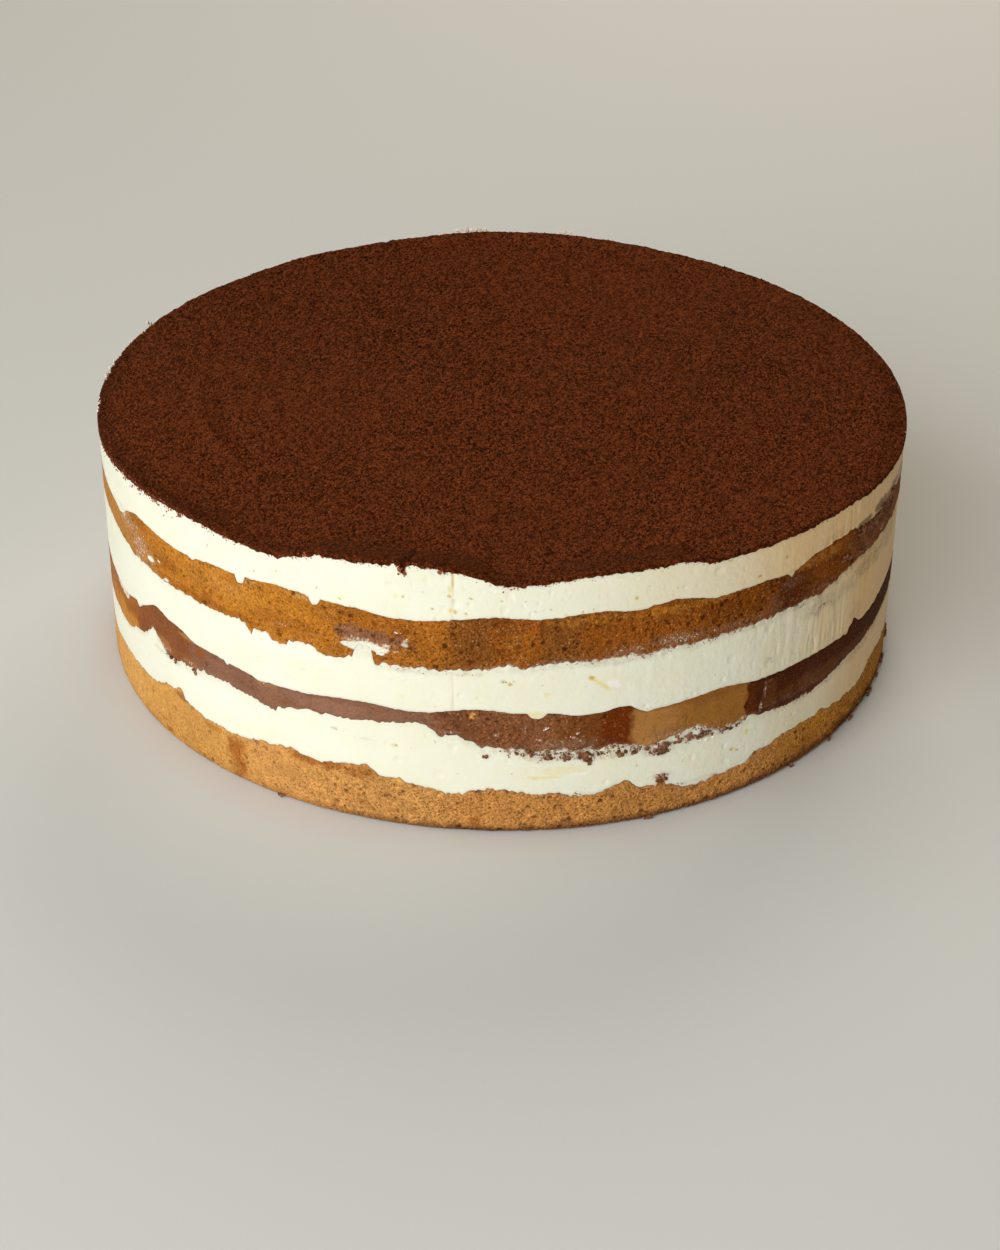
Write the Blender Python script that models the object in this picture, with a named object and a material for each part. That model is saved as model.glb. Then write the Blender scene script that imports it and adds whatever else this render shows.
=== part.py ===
"""Layer cake, 26 cm across: three soaked sponges, three layers of cream and a skin of cocoa.

Each layer is a disc that runs through the whole cake. Two neighbours share one line round
the rim, which wanders as the soft layers were pressed together. A line is given by the points
where it turns, and eases to a level plane inside the cake, where nothing shows. On top it is a
low lip of cream that eases to the flat cocoa. The foot is flat, at z = 0, and the front is -Y.
"""

import math
import random

import bmesh
import bpy

MM = 0.001

# Driving sizes
RADIUS = 130.0 * MM
COLUMNS = 160
LAYER_GAP = 0.3 * MM
EASE_WIDTH = 22.0 * MM
LIP_WIDTH = 9.0 * MM
COCOA_THICKNESS = 1.2 * MM
RAGGED_LINE = 0.35 * MM
CREAM_DENT = 0.25 * MM
SPONGE_DENT = 0.8 * MM

# Widths of the rings inset into a layer's face, from the side inwards: one inside the cake,
# and two on top, where the lip shows
INNER_RINGS = (EASE_WIDTH,)
LIP_RINGS = (LIP_WIDTH / 3, 2 * LIP_WIDTH / 3)

# The foot is rounded in all the way round, and most on the right
FOOT_TUCK = 1.2 * MM
FOOT_TUCK_EXTRA = 2.4 * MM
FOOT_TUCK_AZIMUTH = 75.0

# Where each rim line turns: degrees from the front (-Y) towards the right (+X), and
# millimetres above the foot. The last point joins the first.
BOTTOM_SPONGE_TOP = (
    (-75, 13.5), (-65, 15.0), (-58, 15.2), (-50, 19.4), (-46, 17.0), (-40, 15.8), (-28, 18.4),
    (-24, 17.3), (-18, 19.4), (-15, 16.5), (-6, 13.6), (-1, 15.4), (6, 13.5), (12, 12.0),
    (16.5, 14.6), (19, 12.2), (27, 8.8), (34.5, 9.7), (37, 12.4), (45, 14.5), (60, 12.0),
    (67, 15.5), (75, 14.0), (105, 12.5), (135, 15.0), (165, 12.0), (200, 15.5), (240, 12.8),
    (265, 15.0),
)
MIDDLE_SPONGE_UNDER = (
    (-75, 25.5), (-65, 25.4), (-60, 29.5), (-55, 35.0), (-51.5, 30.2), (-41, 33.0), (-31, 31.8),
    (-25, 34.0), (-18, 35.0), (-10.5, 36.6), (-7, 33.8), (1, 29.5), (8, 28.0), (15, 28.5),
    (20, 27.5), (25, 28.5), (32, 26.0), (45, 25.5), (60, 27.3), (75, 29.0), (105, 26.5),
    (135, 29.5), (165, 27.0), (205, 29.5), (240, 26.5), (265, 28.0),
)
MIDDLE_SPONGE_TOP = (
    (-75, 38.2), (-66, 37.5), (-59, 40.0), (-54, 44.5), (-49, 43.2), (-44, 41.0), (-30, 39.3),
    (-17, 41.3), (-11, 40.5), (-3, 42.6), (5, 40.4), (16.5, 41.2), (20, 38.7), (30, 40.0),
    (38, 38.0), (48, 37.5), (54, 36.5), (57, 38.3), (60, 36.4), (75, 38.2), (105, 40.5),
    (135, 38.5), (170, 41.0), (205, 38.5), (240, 40.5), (265, 38.5),
)
TOP_SPONGE_UNDER = (
    (-75, 60.0), (-68, 59.3), (-60, 56.8), (-36, 56.8), (-33.5, 55.2), (-26, 56.5), (-21.5, 55.2),
    (-18, 60.0), (-14.5, 55.4), (-6, 55.4), (2, 57.2), (10, 58.1), (30, 59.2), (47, 58.6),
    (56, 60.8), (75, 60.5), (105, 57.5), (135, 59.5), (165, 56.5), (205, 59.0), (240, 56.5),
    (262, 59.0),
)
TOP_SPONGE_TOP = (
    (-75, 68.8), (-65, 67.5), (-58, 71.8), (-46, 70.8), (-40, 72.3), (-35.5, 70.6), (-30, 73.5),
    (-24, 71.2), (-20, 72.5), (-12, 71.0), (0, 73.4), (5, 72.8), (13, 74.0), (17, 72.9),
    (23, 74.3), (29, 71.8), (36, 72.0), (41, 70.0), (46, 73.6), (53, 73.8), (62, 70.8),
    (75, 70.0), (105, 72.5), (135, 70.5), (165, 73.0), (205, 71.0), (240, 73.0), (262, 69.5),
)
TOP_RIM = (
    (-75, 81.0), (-60, 83.5), (-45, 84.8), (-31, 83.5), (-21, 87.8), (-9, 88.8), (2, 84.2),
    (16, 86.8), (30, 83.8), (50, 84.0), (62, 82.0), (75, 80.5), (110, 82.5), (140, 84.0),
    (180, 86.0), (208, 84.0), (232, 82.2), (262, 81.5),
)

# Looks of the plain solids: base colour in linear RGB, and roughness
MATERIALS = {
    "golden_sponge": ((0.52, 0.26, 0.075), 0.75),
    "dark_sponge": ((0.20, 0.085, 0.035), 0.7),
    "amber_sponge": ((0.40, 0.17, 0.05), 0.7),
    "cream": ((0.88, 0.83, 0.68), 0.45),
    "cocoa": ((0.085, 0.028, 0.012), 0.95),
}


def rim_height(turns, azimuth):
    """Height of a rim line at an azimuth, rounded off at every turn."""
    first, last = turns[0], turns[-1]
    closed = ((last[0] - 360.0, last[1]),) + turns + ((first[0] + 360.0, first[1]),)
    for (start, start_height), (end, end_height) in zip(closed, closed[1:]):
        if start <= azimuth <= end:
            share = (1 - math.cos(math.pi * (azimuth - start) / (end - start))) / 2
            return (start_height + (end_height - start_height) * share) * MM
    raise ValueError(f"azimuth {azimuth} is off the line")


class Surface:
    """The surface between two layers: height and dent at each column's rim, and inner level."""

    def __init__(self, turns, seed, rings=INNER_RINGS, lift=0.0):
        draw = random.Random(seed)
        self.rings = rings
        self.width = sum(rings)
        self.rim = []
        for column in range(COLUMNS):
            azimuth = column_azimuth(column)
            ragged = draw.uniform(-RAGGED_LINE, RAGGED_LINE)
            self.rim.append(rim_height(turns, azimuth) + ragged + lift)
        self.level = sum(self.rim) / COLUMNS
        self.dents = pressed_dents(seed, CREAM_DENT)

    def height(self, column, inset):
        """Height at a column, a given way in from the side."""
        share = max(0.0, 1.0 - inset / self.width)
        ease = share * share * (3.0 - 2.0 * share)
        return self.level + (self.rim[column] - self.level) * ease


class FlatFoot:
    """The flat underside of the cake, rounded in at its edge, and most on the right."""

    rings = ()

    def __init__(self):
        self.dents = [foot_tuck(column_azimuth(column)) for column in range(COLUMNS)]

    def height(self, column, inset):
        return 0.0


def column_azimuth(column):
    """Degrees from the front towards the right, counted from the left side at -90."""
    return column * 360.0 / COLUMNS - 90.0


def column_of(point):
    """The column that a vertex stands in."""
    azimuth = math.degrees(math.atan2(point.x, -point.y))
    return round((azimuth + 90.0) * COLUMNS / 360.0) % COLUMNS


def foot_tuck(azimuth):
    """How far the foot is rounded in at an azimuth."""
    rightward = 0.5 + 0.5 * math.cos(math.radians(azimuth - FOOT_TUCK_AZIMUTH))
    return FOOT_TUCK + FOOT_TUCK_EXTRA * rightward * rightward


def pressed_dents(seed, depth):
    """Seeded dents round the side, none on the four columns that set the true width."""
    draw = random.Random(seed)
    dents = [draw.uniform(0.0, depth) for column in range(COLUMNS)]
    for quarter in range(4):
        dents[quarter * COLUMNS // 4] = 0.0
    return dents


def round_slab(rows, under_rings, over_rings):
    """A slab one metre tall, with rows round its side and rings set into its two faces."""
    slab = bmesh.new()
    bmesh.ops.create_cone(slab, cap_ends=True, segments=COLUMNS, radius1=RADIUS,
                          radius2=RADIUS, depth=1.0)
    bmesh.ops.translate(slab, verts=slab.verts, vec=(0.0, 0.0, 0.5))
    for row in range(1, rows):
        everything = slab.verts[:] + slab.edges[:] + slab.faces[:]
        bmesh.ops.bisect_plane(slab, geom=everything, plane_co=(0.0, 0.0, row / rows),
                               plane_no=(0.0, 0.0, 1.0))
    ends = [face for face in slab.faces if len(face.verts) == COLUMNS]
    ends.sort(key=lambda face: face.calc_center_median().z)
    for end, rings in zip(ends, (under_rings, over_rings)):
        for width in rings:
            bmesh.ops.inset_individual(slab, faces=[end], thickness=width,
                                       use_even_offset=True)
    return slab


def layer(name, under, over, material, dent_depth=CREAM_DENT, rows=2):
    """One layer of the cake, between two surfaces."""
    slab = round_slab(rows, under.rings, over.rings)
    dents = [under.dents]
    dents += [pressed_dents(f"{name} {row}", dent_depth) for row in range(1, rows)]
    dents.append(over.dents)
    low_gap = 0.0 if isinstance(under, FlatFoot) else LAYER_GAP / 2
    for vertex in slab.verts:
        column = column_of(vertex.co)
        azimuth = math.radians(column_azimuth(column))
        share = vertex.co.z
        inset = RADIUS - math.hypot(vertex.co.x, vertex.co.y)
        low = under.height(column, inset) + low_gap
        high = over.height(column, inset) - LAYER_GAP / 2
        if inset < LAYER_GAP:
            inset = dents[round(share * rows)][column]
        radius = RADIUS - inset
        vertex.co = (radius * math.sin(azimuth), -radius * math.cos(azimuth),
                     low + (high - low) * share)
    quads = [face for face in slab.faces if len(face.verts) == 4]
    bmesh.ops.triangulate(slab, faces=quads, quad_method="SHORT_EDGE")
    mesh = bpy.data.meshes.new(name)
    slab.to_mesh(mesh)
    slab.free()
    mesh.shade_smooth()
    mesh.set_sharp_from_angle(angle=math.radians(40.0))
    mesh.materials.append(material)
    return bpy.data.objects.new(name, mesh)


def plain_material(name):
    """A Principled material in the colour and roughness of one food."""
    color, roughness = MATERIALS[name]
    material = bpy.data.materials.new(name)
    material.use_nodes = True
    shader = material.node_tree.nodes["Principled BSDF"]
    shader.inputs["Base Color"].default_value = (*color, 1.0)
    shader.inputs["Roughness"].default_value = roughness
    shader.inputs["Metallic"].default_value = 0.0
    return material


def main():
    """Build the seven layers, from the foot up."""
    for old in list(bpy.data.objects):
        bpy.data.objects.remove(old, do_unlink=True)
    cake = bpy.data.collections.new("layer_cake")
    bpy.context.scene.collection.children.link(cake)
    looks = {name: plain_material(name) for name in MATERIALS}

    bottom_over = Surface(BOTTOM_SPONGE_TOP, seed=1)
    middle_under = Surface(MIDDLE_SPONGE_UNDER, seed=2)
    middle_over = Surface(MIDDLE_SPONGE_TOP, seed=3)
    top_under = Surface(TOP_SPONGE_UNDER, seed=4)
    top_over = Surface(TOP_SPONGE_TOP, seed=5)
    cream_over = Surface(TOP_RIM, seed=6, rings=LIP_RINGS)
    cocoa_over = Surface(TOP_RIM, seed=6, rings=LIP_RINGS, lift=COCOA_THICKNESS)

    golden, dark, amber = looks["golden_sponge"], looks["dark_sponge"], looks["amber_sponge"]
    cream = looks["cream"]
    layers = (
        layer("sponge_bottom", FlatFoot(), bottom_over, golden, SPONGE_DENT, rows=4),
        layer("cream_lower", bottom_over, middle_under, cream),
        layer("sponge_middle", middle_under, middle_over, dark, SPONGE_DENT),
        layer("cream_middle", middle_over, top_under, cream),
        layer("sponge_top", top_under, top_over, amber, SPONGE_DENT),
        layer("cream_top", top_over, cream_over, cream),
        layer("cocoa_top", cream_over, cocoa_over, looks["cocoa"], rows=1),
    )
    for piece in layers:
        cake.objects.link(piece)


if __name__ == "__main__":
    main()
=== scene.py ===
"""Looks of the layer cake: sponges with their pores and soaked patches, pressed cream, cocoa,
and the crumbs and grains that cling to them."""

import math

import bmesh
import bpy
import numpy as np
from bpy.props import FloatProperty, FloatVectorProperty, IntProperty, PointerProperty
from bpy.types import Operator, Panel, PropertyGroup
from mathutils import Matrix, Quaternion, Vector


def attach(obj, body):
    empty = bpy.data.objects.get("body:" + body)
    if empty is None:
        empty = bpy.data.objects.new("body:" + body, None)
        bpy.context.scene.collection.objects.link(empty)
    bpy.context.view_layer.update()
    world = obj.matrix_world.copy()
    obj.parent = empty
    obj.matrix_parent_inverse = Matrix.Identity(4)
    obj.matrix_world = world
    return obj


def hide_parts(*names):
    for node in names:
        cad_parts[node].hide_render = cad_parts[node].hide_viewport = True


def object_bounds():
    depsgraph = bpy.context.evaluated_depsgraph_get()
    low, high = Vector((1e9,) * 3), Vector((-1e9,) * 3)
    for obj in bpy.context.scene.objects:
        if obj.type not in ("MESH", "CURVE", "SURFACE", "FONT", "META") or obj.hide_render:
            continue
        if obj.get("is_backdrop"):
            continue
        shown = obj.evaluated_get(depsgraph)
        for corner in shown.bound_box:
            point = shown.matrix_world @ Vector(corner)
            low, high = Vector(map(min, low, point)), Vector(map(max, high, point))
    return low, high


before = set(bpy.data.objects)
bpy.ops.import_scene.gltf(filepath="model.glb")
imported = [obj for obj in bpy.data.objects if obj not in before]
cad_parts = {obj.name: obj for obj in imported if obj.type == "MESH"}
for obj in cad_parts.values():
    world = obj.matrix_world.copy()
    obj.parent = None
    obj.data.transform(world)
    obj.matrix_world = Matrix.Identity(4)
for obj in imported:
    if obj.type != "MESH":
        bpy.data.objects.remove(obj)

bl_info = {
    "name": "Layer Cake",
    "version": (1, 0, 0),
    "blender": (4, 5, 0),
    "location": "3D View > Sidebar > Cake",
    "description": "Builds a layer cake with bare sides around its plain solids",
    "category": "Add Mesh",
}

MM = 0.001
# The back, where the marks are strewn at random: degrees from the front
BACK_FROM, BACK_TO = 88.0, 282.0
CAD_LOW, CAD_HIGH = (tuple(corner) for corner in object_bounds())
RADIUS = CAD_HIGH[0]

# The side is a grid of columns, a whole number to the degree
COLUMNS = 2160
EASE_WIDTH = 22.0 * MM
COCOA_SKIN = 1.0 * MM
TOP_LEVEL = 82.9 * MM
# How high the noise over the side reaches, which is past the rim
NOISE_HEIGHT = 0.12

# Where each rim line turns: degrees from the front (-Y) towards the right (+X), and
# millimetres above the foot. These are the lines of the solids.
BOTTOM_SPONGE_TOP = (
    (-75, 13.5), (-65, 15.0), (-58, 15.2), (-50, 19.4), (-46, 17.0), (-40, 15.8), (-28, 18.4),
    (-24, 17.3), (-18, 19.4), (-15, 16.5), (-6, 13.6), (-1, 15.4), (6, 13.5), (12, 12.0),
    (16.5, 14.6), (19, 12.2), (27, 8.8), (34.5, 9.7), (37, 12.4), (45, 14.5), (60, 12.0),
    (67, 15.5), (75, 14.0), (105, 12.5), (135, 15.0), (165, 12.0), (200, 15.5), (240, 12.8),
    (265, 15.0),
)
MIDDLE_SPONGE_UNDER = (
    (-75, 25.5), (-65, 25.4), (-60, 29.5), (-55, 35.0), (-51.5, 30.2), (-41, 33.0), (-31, 31.8),
    (-25, 34.0), (-18, 35.0), (-10.5, 36.6), (-7, 33.8), (1, 29.5), (8, 28.0), (15, 28.5),
    (20, 27.5), (25, 28.5), (32, 26.0), (45, 25.5), (60, 27.3), (75, 29.0), (105, 26.5),
    (135, 29.5), (165, 27.0), (205, 29.5), (240, 26.5), (265, 28.0),
)
MIDDLE_SPONGE_TOP = (
    (-75, 38.2), (-66, 37.5), (-59, 40.0), (-54, 44.5), (-49, 43.2), (-44, 41.0), (-30, 39.3),
    (-17, 41.3), (-11, 40.5), (-3, 42.6), (5, 41.4), (16.5, 41.2), (20, 38.7), (30, 40.0),
    (38, 38.0), (48, 37.5), (54, 36.5), (57, 38.3), (60, 36.4), (75, 38.2), (105, 40.5),
    (135, 38.5), (170, 41.0), (205, 38.5), (240, 40.5), (265, 38.5),
)
TOP_SPONGE_UNDER = (
    (-75, 60.0), (-68, 59.3), (-60, 56.8), (-36, 56.8), (-33.5, 56.2), (-26, 56.8), (-21.5, 55.2),
    (-18, 56.5), (-14.5, 55.4), (-6, 55.4), (2, 57.2), (10, 58.1), (30, 59.2), (47, 58.6),
    (56, 60.8), (75, 60.5), (105, 57.5), (135, 59.5), (165, 56.5), (205, 59.0), (240, 56.5),
    (262, 59.0),
)
TOP_SPONGE_TOP = (
    (-75, 68.8), (-65, 67.5), (-58, 71.8), (-46, 70.8), (-40, 72.3), (-35.5, 72.4), (-30, 73.5),
    (-24, 73.0), (-20, 72.5), (-12, 71.0), (0, 73.4), (5, 72.8), (13, 74.0), (17, 72.9),
    (23, 74.3), (29, 71.8), (36, 72.0), (41, 71.2), (46, 73.6), (53, 73.8), (62, 70.8),
    (75, 70.0), (105, 72.5), (135, 70.5), (165, 73.0), (205, 71.0), (240, 73.0), (262, 69.5),
)
TOP_RIM = (
    (-75, 81.0), (-60, 83.5), (-45, 84.8), (-31, 83.5), (-21, 87.8), (-9, 88.8), (2, 84.2),
    (16, 86.8), (30, 83.8), (50, 84.0), (62, 82.0), (75, 80.5), (110, 82.0), (140, 83.0),
    (180, 84.8), (208, 83.0), (232, 81.8), (262, 81.5),
)

# Narrow marks on the lines: azimuth of the tip, reach to its left and right in degrees, rise
# in millimetres, and fullness (1 is pointed, 2 rounded, 6 square)
BOTTOM_SPONGE_NICKS = (
    (-48.5, 1.6, 0.5, 2.0, 2.0), (-44.5, 1.5, 2.0, -0.5, 2.0), (-28.2, 0.9, 1.2, 0.6, 2.0),
    (-17.3, 0.6, 0.4, 0.6, 1.0), (-15.4, 0.6, 0.8, -0.5, 2.0), (-4.5, 0.7, 0.5, -0.7, 2.0),
    (-1.2, 0.6, 0.8, 0.6, 1.0), (12.4, 1.2, 1.0, -0.5, 2.0), (17.3, 1.2, 0.25, 0.5, 3.0),
    (18.4, 0.4, 1.6, -0.4, 2.0), (21.8, 0.8, 0.7, 2.8, 1.3), (26.8, 3.5, 3.0, -0.5, 2.0),
    (35.8, 0.35, 1.5, 0.5, 3.0), (41.5, 0.5, 0.5, 0.6, 1.0), (-12.8, 0.7, 0.5, 0.6, 2.0),
    (-9.6, 0.5, 0.4, -0.6, 1.0), (50.0, 1.5, 1.0, 0.7, 2.0), (54.5, 1.0, 1.0, -0.6, 2.0),
)
MIDDLE_UNDER_NICKS = (
    (-30.6, 5.0, 0.4, -1.7, 1.0), (-55.5, 0.7, 0.6, 0.8, 1.5), (-51.0, 0.9, 0.7, -0.9, 1.0),
    (-48.0, 0.8, 0.8, 0.8, 1.5), (-45.2, 0.6, 0.5, -1.3, 1.0), (-43.4, 0.4, 0.5, 0.9, 1.0),
    (-7.6, 0.5, 0.7, -1.2, 1.5), (-5.4, 0.4, 0.5, 0.7, 1.0), (-2.3, 0.7, 0.5, -0.9, 1.5),
    (8.0, 1.5, 1.5, 0.6, 2.0), (13.0, 1.5, 1.2, -0.9, 2.0), (20.5, 5.0, 3.0, -1.2, 3.0),
    (26.8, 2.0, 1.6, 0.7, 3.0), (30.5, 2.0, 2.4, -0.6, 2.0), (35.4, 0.9, 0.9, 0.8, 3.0),
    (43.0, 6.5, 12.0, -1.2, 3.0), (47.0, 0.8, 0.8, -0.4, 1.0),
)
MIDDLE_TOP_NICKS = (
    (-59.6, 0.8, 1.2, -1.7, 1.5), (-38.6, 0.5, 0.4, -0.9, 2.0), (-33.0, 1.2, 1.5, -0.8, 2.0),
    (4.9, 1.3, 1.2, -1.7, 3.0), (11.0, 3.5, 4.0, -1.3, 2.0), (18.6, 1.4, 1.5, -0.7, 2.0),
    (55.4, 0.9, 0.5, -1.6, 1.5), (57.2, 0.4, 1.6, 1.4, 1.5),
)
TOP_UNDER_NICKS = (
    (-34.0, 0.9, 0.35, -2.4, 1.0), (-36.0, 1.0, 0.8, 0.8, 1.0), (-29.2, 1.9, 1.1, -2.3, 5.0),
    (-27.8, 0.5, 0.6, -0.6, 1.0), (-22.0, 2.2, 2.4, -1.0, 5.0), (-17.1, 1.9, 1.0, 3.9, 3.2),
    (-15.9, 0.5, 0.9, -1.2, 2.0), (-12.0, 0.8, 0.8, -0.4, 2.0), (1.0, 0.9, 0.4, 0.6, 1.5),
    (3.6, 1.2, 1.2, -0.8, 2.0), (-5.0, 0.4, 0.4, 0.5, 1.0), (28.0, 14.0, 12.0, -0.9, 2.0),
    (43.8, 1.0, 0.8, 0.7, 2.0), (47.3, 0.8, 0.8, -0.9, 2.0), (59.6, 0.4, 0.4, 1.3, 2.0),
)
TOP_OVER_NICKS = (
    (-35.5, 0.75, 0.75, -2.2, 6.0), (-24.1, 0.75, 0.9, -2.4, 2.5), (-26.0, 0.9, 0.9, 0.3, 6.0),
    (-64.4, 2.0, 2.0, -1.0, 2.0), (41.0, 0.7, 0.5, -1.5, 1.3), (-44.3, 1.0, 0.8, -0.7, 2.0),
    (55.6, 0.5, 0.6, -0.9, 1.0), (-6.4, 0.3, 0.3, -0.3, 2.0),
)
RIM_NICKS = (
    (-12.2, 0.35, 0.5, -3.2, 1.2), (-13.4, 0.5, 0.6, 0.9, 1.5), (-10.9, 0.6, 0.9, 0.5, 1.5),
    (-7.0, 0.35, 0.5, -1.0, 1.2), (-14.9, 0.5, 0.4, -0.7, 1.0), (-23.6, 0.4, 0.6, 0.7, 1.0),
    (-29.0, 1.2, 0.8, -0.5, 1.0), (-0.6, 0.5, 0.5, -0.5, 1.0), (3.0, 0.5, 0.4, -0.5, 1.0),
    (-4.0, 2.0, 2.6, 0.7, 2.0), (2.2, 2.5, 2.0, -0.4, 2.0), (16.0, 4.0, 4.0, -0.7, 2.0),
    (24.3, 3.5, 2.6, 1.1, 3.0),
)

# Tones of the sponges by name, and the lines of tones round the side of each sponge
TONES = {
    "golden": (0.60, 0.303, 0.077),
    "honey": (0.68, 0.360, 0.102),
    "shortbread": (0.61, 0.298, 0.085),
    "biscuit": (0.54, 0.245, 0.064),
    "tawny": (0.50, 0.215, 0.032),
    "toast": (0.37, 0.125, 0.020),
    "caramel": (0.53, 0.225, 0.036),
    "tan_skin": (0.44, 0.200, 0.041),
    "amber": (0.50, 0.190, 0.020),
    "copper": (0.37, 0.125, 0.013),
    "rust": (0.28, 0.080, 0.007),
    "umber": (0.235, 0.077, 0.011),
    "russet": (0.235, 0.078, 0.025),
    "mauve": (0.235, 0.110, 0.064),
    "dusk": (0.265, 0.130, 0.082),
    "plum": (0.195, 0.070, 0.025),
    "cinnamon": (0.225, 0.086, 0.032),
    "walnut": (0.180, 0.072, 0.020),
    "chestnut": (0.178, 0.056, 0.011),
    "burnt": (0.165, 0.030, 0.001),
    "sand": (0.41, 0.190, 0.052),
    "fawn": (0.345, 0.147, 0.028),
    "chocolate": (0.076, 0.015, 0.001),
    "crust": (0.12, 0.035, 0.012),
    "bark": (0.225, 0.060, 0.003),
    "peat": (0.125, 0.026, 0.001),
}
BOTTOM_TONES = (
    (-100, "golden"), (-72, "honey"), (-62, "honey"), (-55, "golden"), (-40, "golden"),
    (-33, "shortbread"), (-10, "shortbread"), (-3, "biscuit"), (35, "biscuit"), (48, "tawny"),
    (80, "tawny"), (110, "biscuit"), (150, "golden"), (190, "biscuit"), (230, "golden"),
)
MIDDLE_TONES = (
    (-100, "toast"), (-62, "toast"), (-58, "russet"), (-47, "russet"), (-44, "mauve"),
    (-30, "mauve"), (-26, "dusk"), (-20, "dusk"), (-15, "mauve"), (-10, "mauve"), (-6, "plum"),
    (-3, "plum"), (0, "cinnamon"), (6, "cinnamon"), (10, "chestnut"), (12, "chestnut"),
    (14.2, "burnt"), (16.8, "burnt"), (18.3, "sand"), (21.0, "sand"), (25.0, "fawn"),
    (34.1, "fawn"), (34.4, "chocolate"), (75, "chocolate"), (105, "walnut"), (130, "fawn"),
    (150, "mauve"), (185, "walnut"), (215, "toast"), (240, "russet"),
)
TOP_TONES = (
    (-100, "tan_skin"), (-62, "tan_skin"), (-56, "amber"), (-29, "amber"), (-17, "copper"),
    (-8, "copper"), (-5, "umber"), (-2, "umber"), (0, "rust"), (4.5, "rust"), (6.5, "umber"),
    (9.5, "umber"), (11, "rust"), (24, "rust"), (29, "bark"), (37, "bark"), (40, "peat"),
    (42.5, "peat"), (46, "bark"), (80, "bark"), (105, "rust"), (140, "amber"), (175, "rust"),
    (205, "amber"), (240, "tan_skin"),
)

# Patches of another tone: azimuth, height in millimetres, half width in degrees, half height
# in millimetres, tone by name and strength
BOTTOM_PATCHES = (
    (-37.6, 8.0, 1.5, 6.5, "toast", 0.95), (-49.2, 18.3, 1.2, 1.2, "russet", 0.8),
    (-24.5, 16.6, 4.0, 1.8, "toast", 0.9), (-18.5, 16.5, 2.2, 2.5, "toast", 0.7),
    (-52.5, 2.0, 0.9, 0.9, "toast", 0.9), (-54.0, 4.4, 0.6, 0.7, "toast", 0.8),
    (9.0, 3.2, 0.9, 1.0, "crust", 0.6), (21.8, 14.0, 0.9, 1.6, "plum", 0.8),
    (-3.0, 3.9, 0.6, 0.9, "toast", 0.9), (-41.5, 14.0, 2.0, 0.9, "toast", 0.5),
    (46.0, 6.0, 3.0, 2.0, "toast", 0.4), (56.0, 8.0, 3.0, 3.0, "toast", 0.4),
)
MIDDLE_PATCHES = (
    (-67.0, 29.0, 7.0, 3.4, "caramel", 0.9), (-44.0, 38.5, 1.0, 2.4, "rust", 0.8),
    (-46.5, 34.0, 2.0, 1.2, "toast", 0.5), (-52.5, 33.0, 2.5, 2.2, "sand", 0.6),
    (-32.0, 38.3, 1.8, 0.8, "sand", 0.4), (1.0, 36.0, 1.6, 4.0, "russet", 0.5),
    (52.0, 29.0, 14.0, 2.2, "walnut", 0.35), (38.5, 31.0, 1.5, 4.0, "walnut", 0.35),
    (35.3, 33.0, 1.0, 5.0, "burnt", 0.45), (29.0, 37.5, 3.0, 1.2, "walnut", 0.35),
    (3.0, 33.0, 1.2, 4.0, "russet", 0.4), (-24.0, 34.5, 6.0, 0.8, "russet", 0.5),
    (-3.3, 40.6, 0.45, 0.9, "golden", 0.9), (27.0, 38.8, 7.0, 1.0, "bark", 0.35),
    (22.0, 30.0, 3.0, 1.6, "mauve", 0.35), (29.0, 33.0, 0.5, 4.0, "tawny", 0.25),
    (-26.0, 40.0, 10.0, 0.8, "plum", 0.4), (47.0, 30.0, 6.0, 1.8, "walnut", 0.15),
    (-44.0, 41.6, 3.4, 0.7, "golden", 0.5),
)
TOP_PATCHES = (
    (-17.5, 63.9, 4.2, 2.4, "mauve", 0.75), (-58.0, 70.0, 3.0, 1.4, "rust", 0.5),
    (-50.0, 63.0, 3.0, 2.5, "rust", 0.5), (24.0, 61.5, 14.0, 2.2, "umber", 0.7),
    (-38.0, 67.0, 5.0, 3.0, "golden", 0.25), (-42.0, 58.5, 12.0, 1.2, "rust", 0.6),
    (-28.0, 62.0, 5.0, 3.0, "rust", 0.4), (2.5, 64.0, 2.0, 4.0, "amber", 0.25),
    (14.0, 71.5, 8.0, 1.4, "amber", 0.35), (26.0, 71.3, 6.0, 1.2, "amber", 0.5),
    (46.5, 71.5, 5.0, 1.8, "amber", 0.5), (-11.0, 62.0, 0.7, 0.9, "crust", 0.8),
    (-34.0, 71.5, 1.0, 1.2, "golden", 0.5), (-25.8, 72.3, 1.1, 1.0, "golden", 0.9),
    (-27.0, 72.7, 0.22, 0.6, "crust", 1.0), (-11.2, 61.4, 0.3, 0.5, "peat", 1.0),
    (56.5, 68.5, 1.2, 2.2, "crust", 0.7), (60.5, 66.0, 1.6, 2.0, "crust", 0.7),
    (64.5, 68.0, 1.8, 1.6, "crust", 0.8), (69.0, 66.5, 2.0, 2.4, "crust", 0.8),
    (47.2, 61.5, 1.0, 1.6, "crust", 0.4), (41.0, 64.0, 1.2, 2.0, "crust", 0.35),
    (-16.8, 61.6, 0.2, 0.6, "crust", 0.9), (-15.4, 57.0, 1.0, 0.9, "umber", 0.6),
    (-42.4, 57.7, 0.6, 0.6, "peat", 0.9),
)

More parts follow.
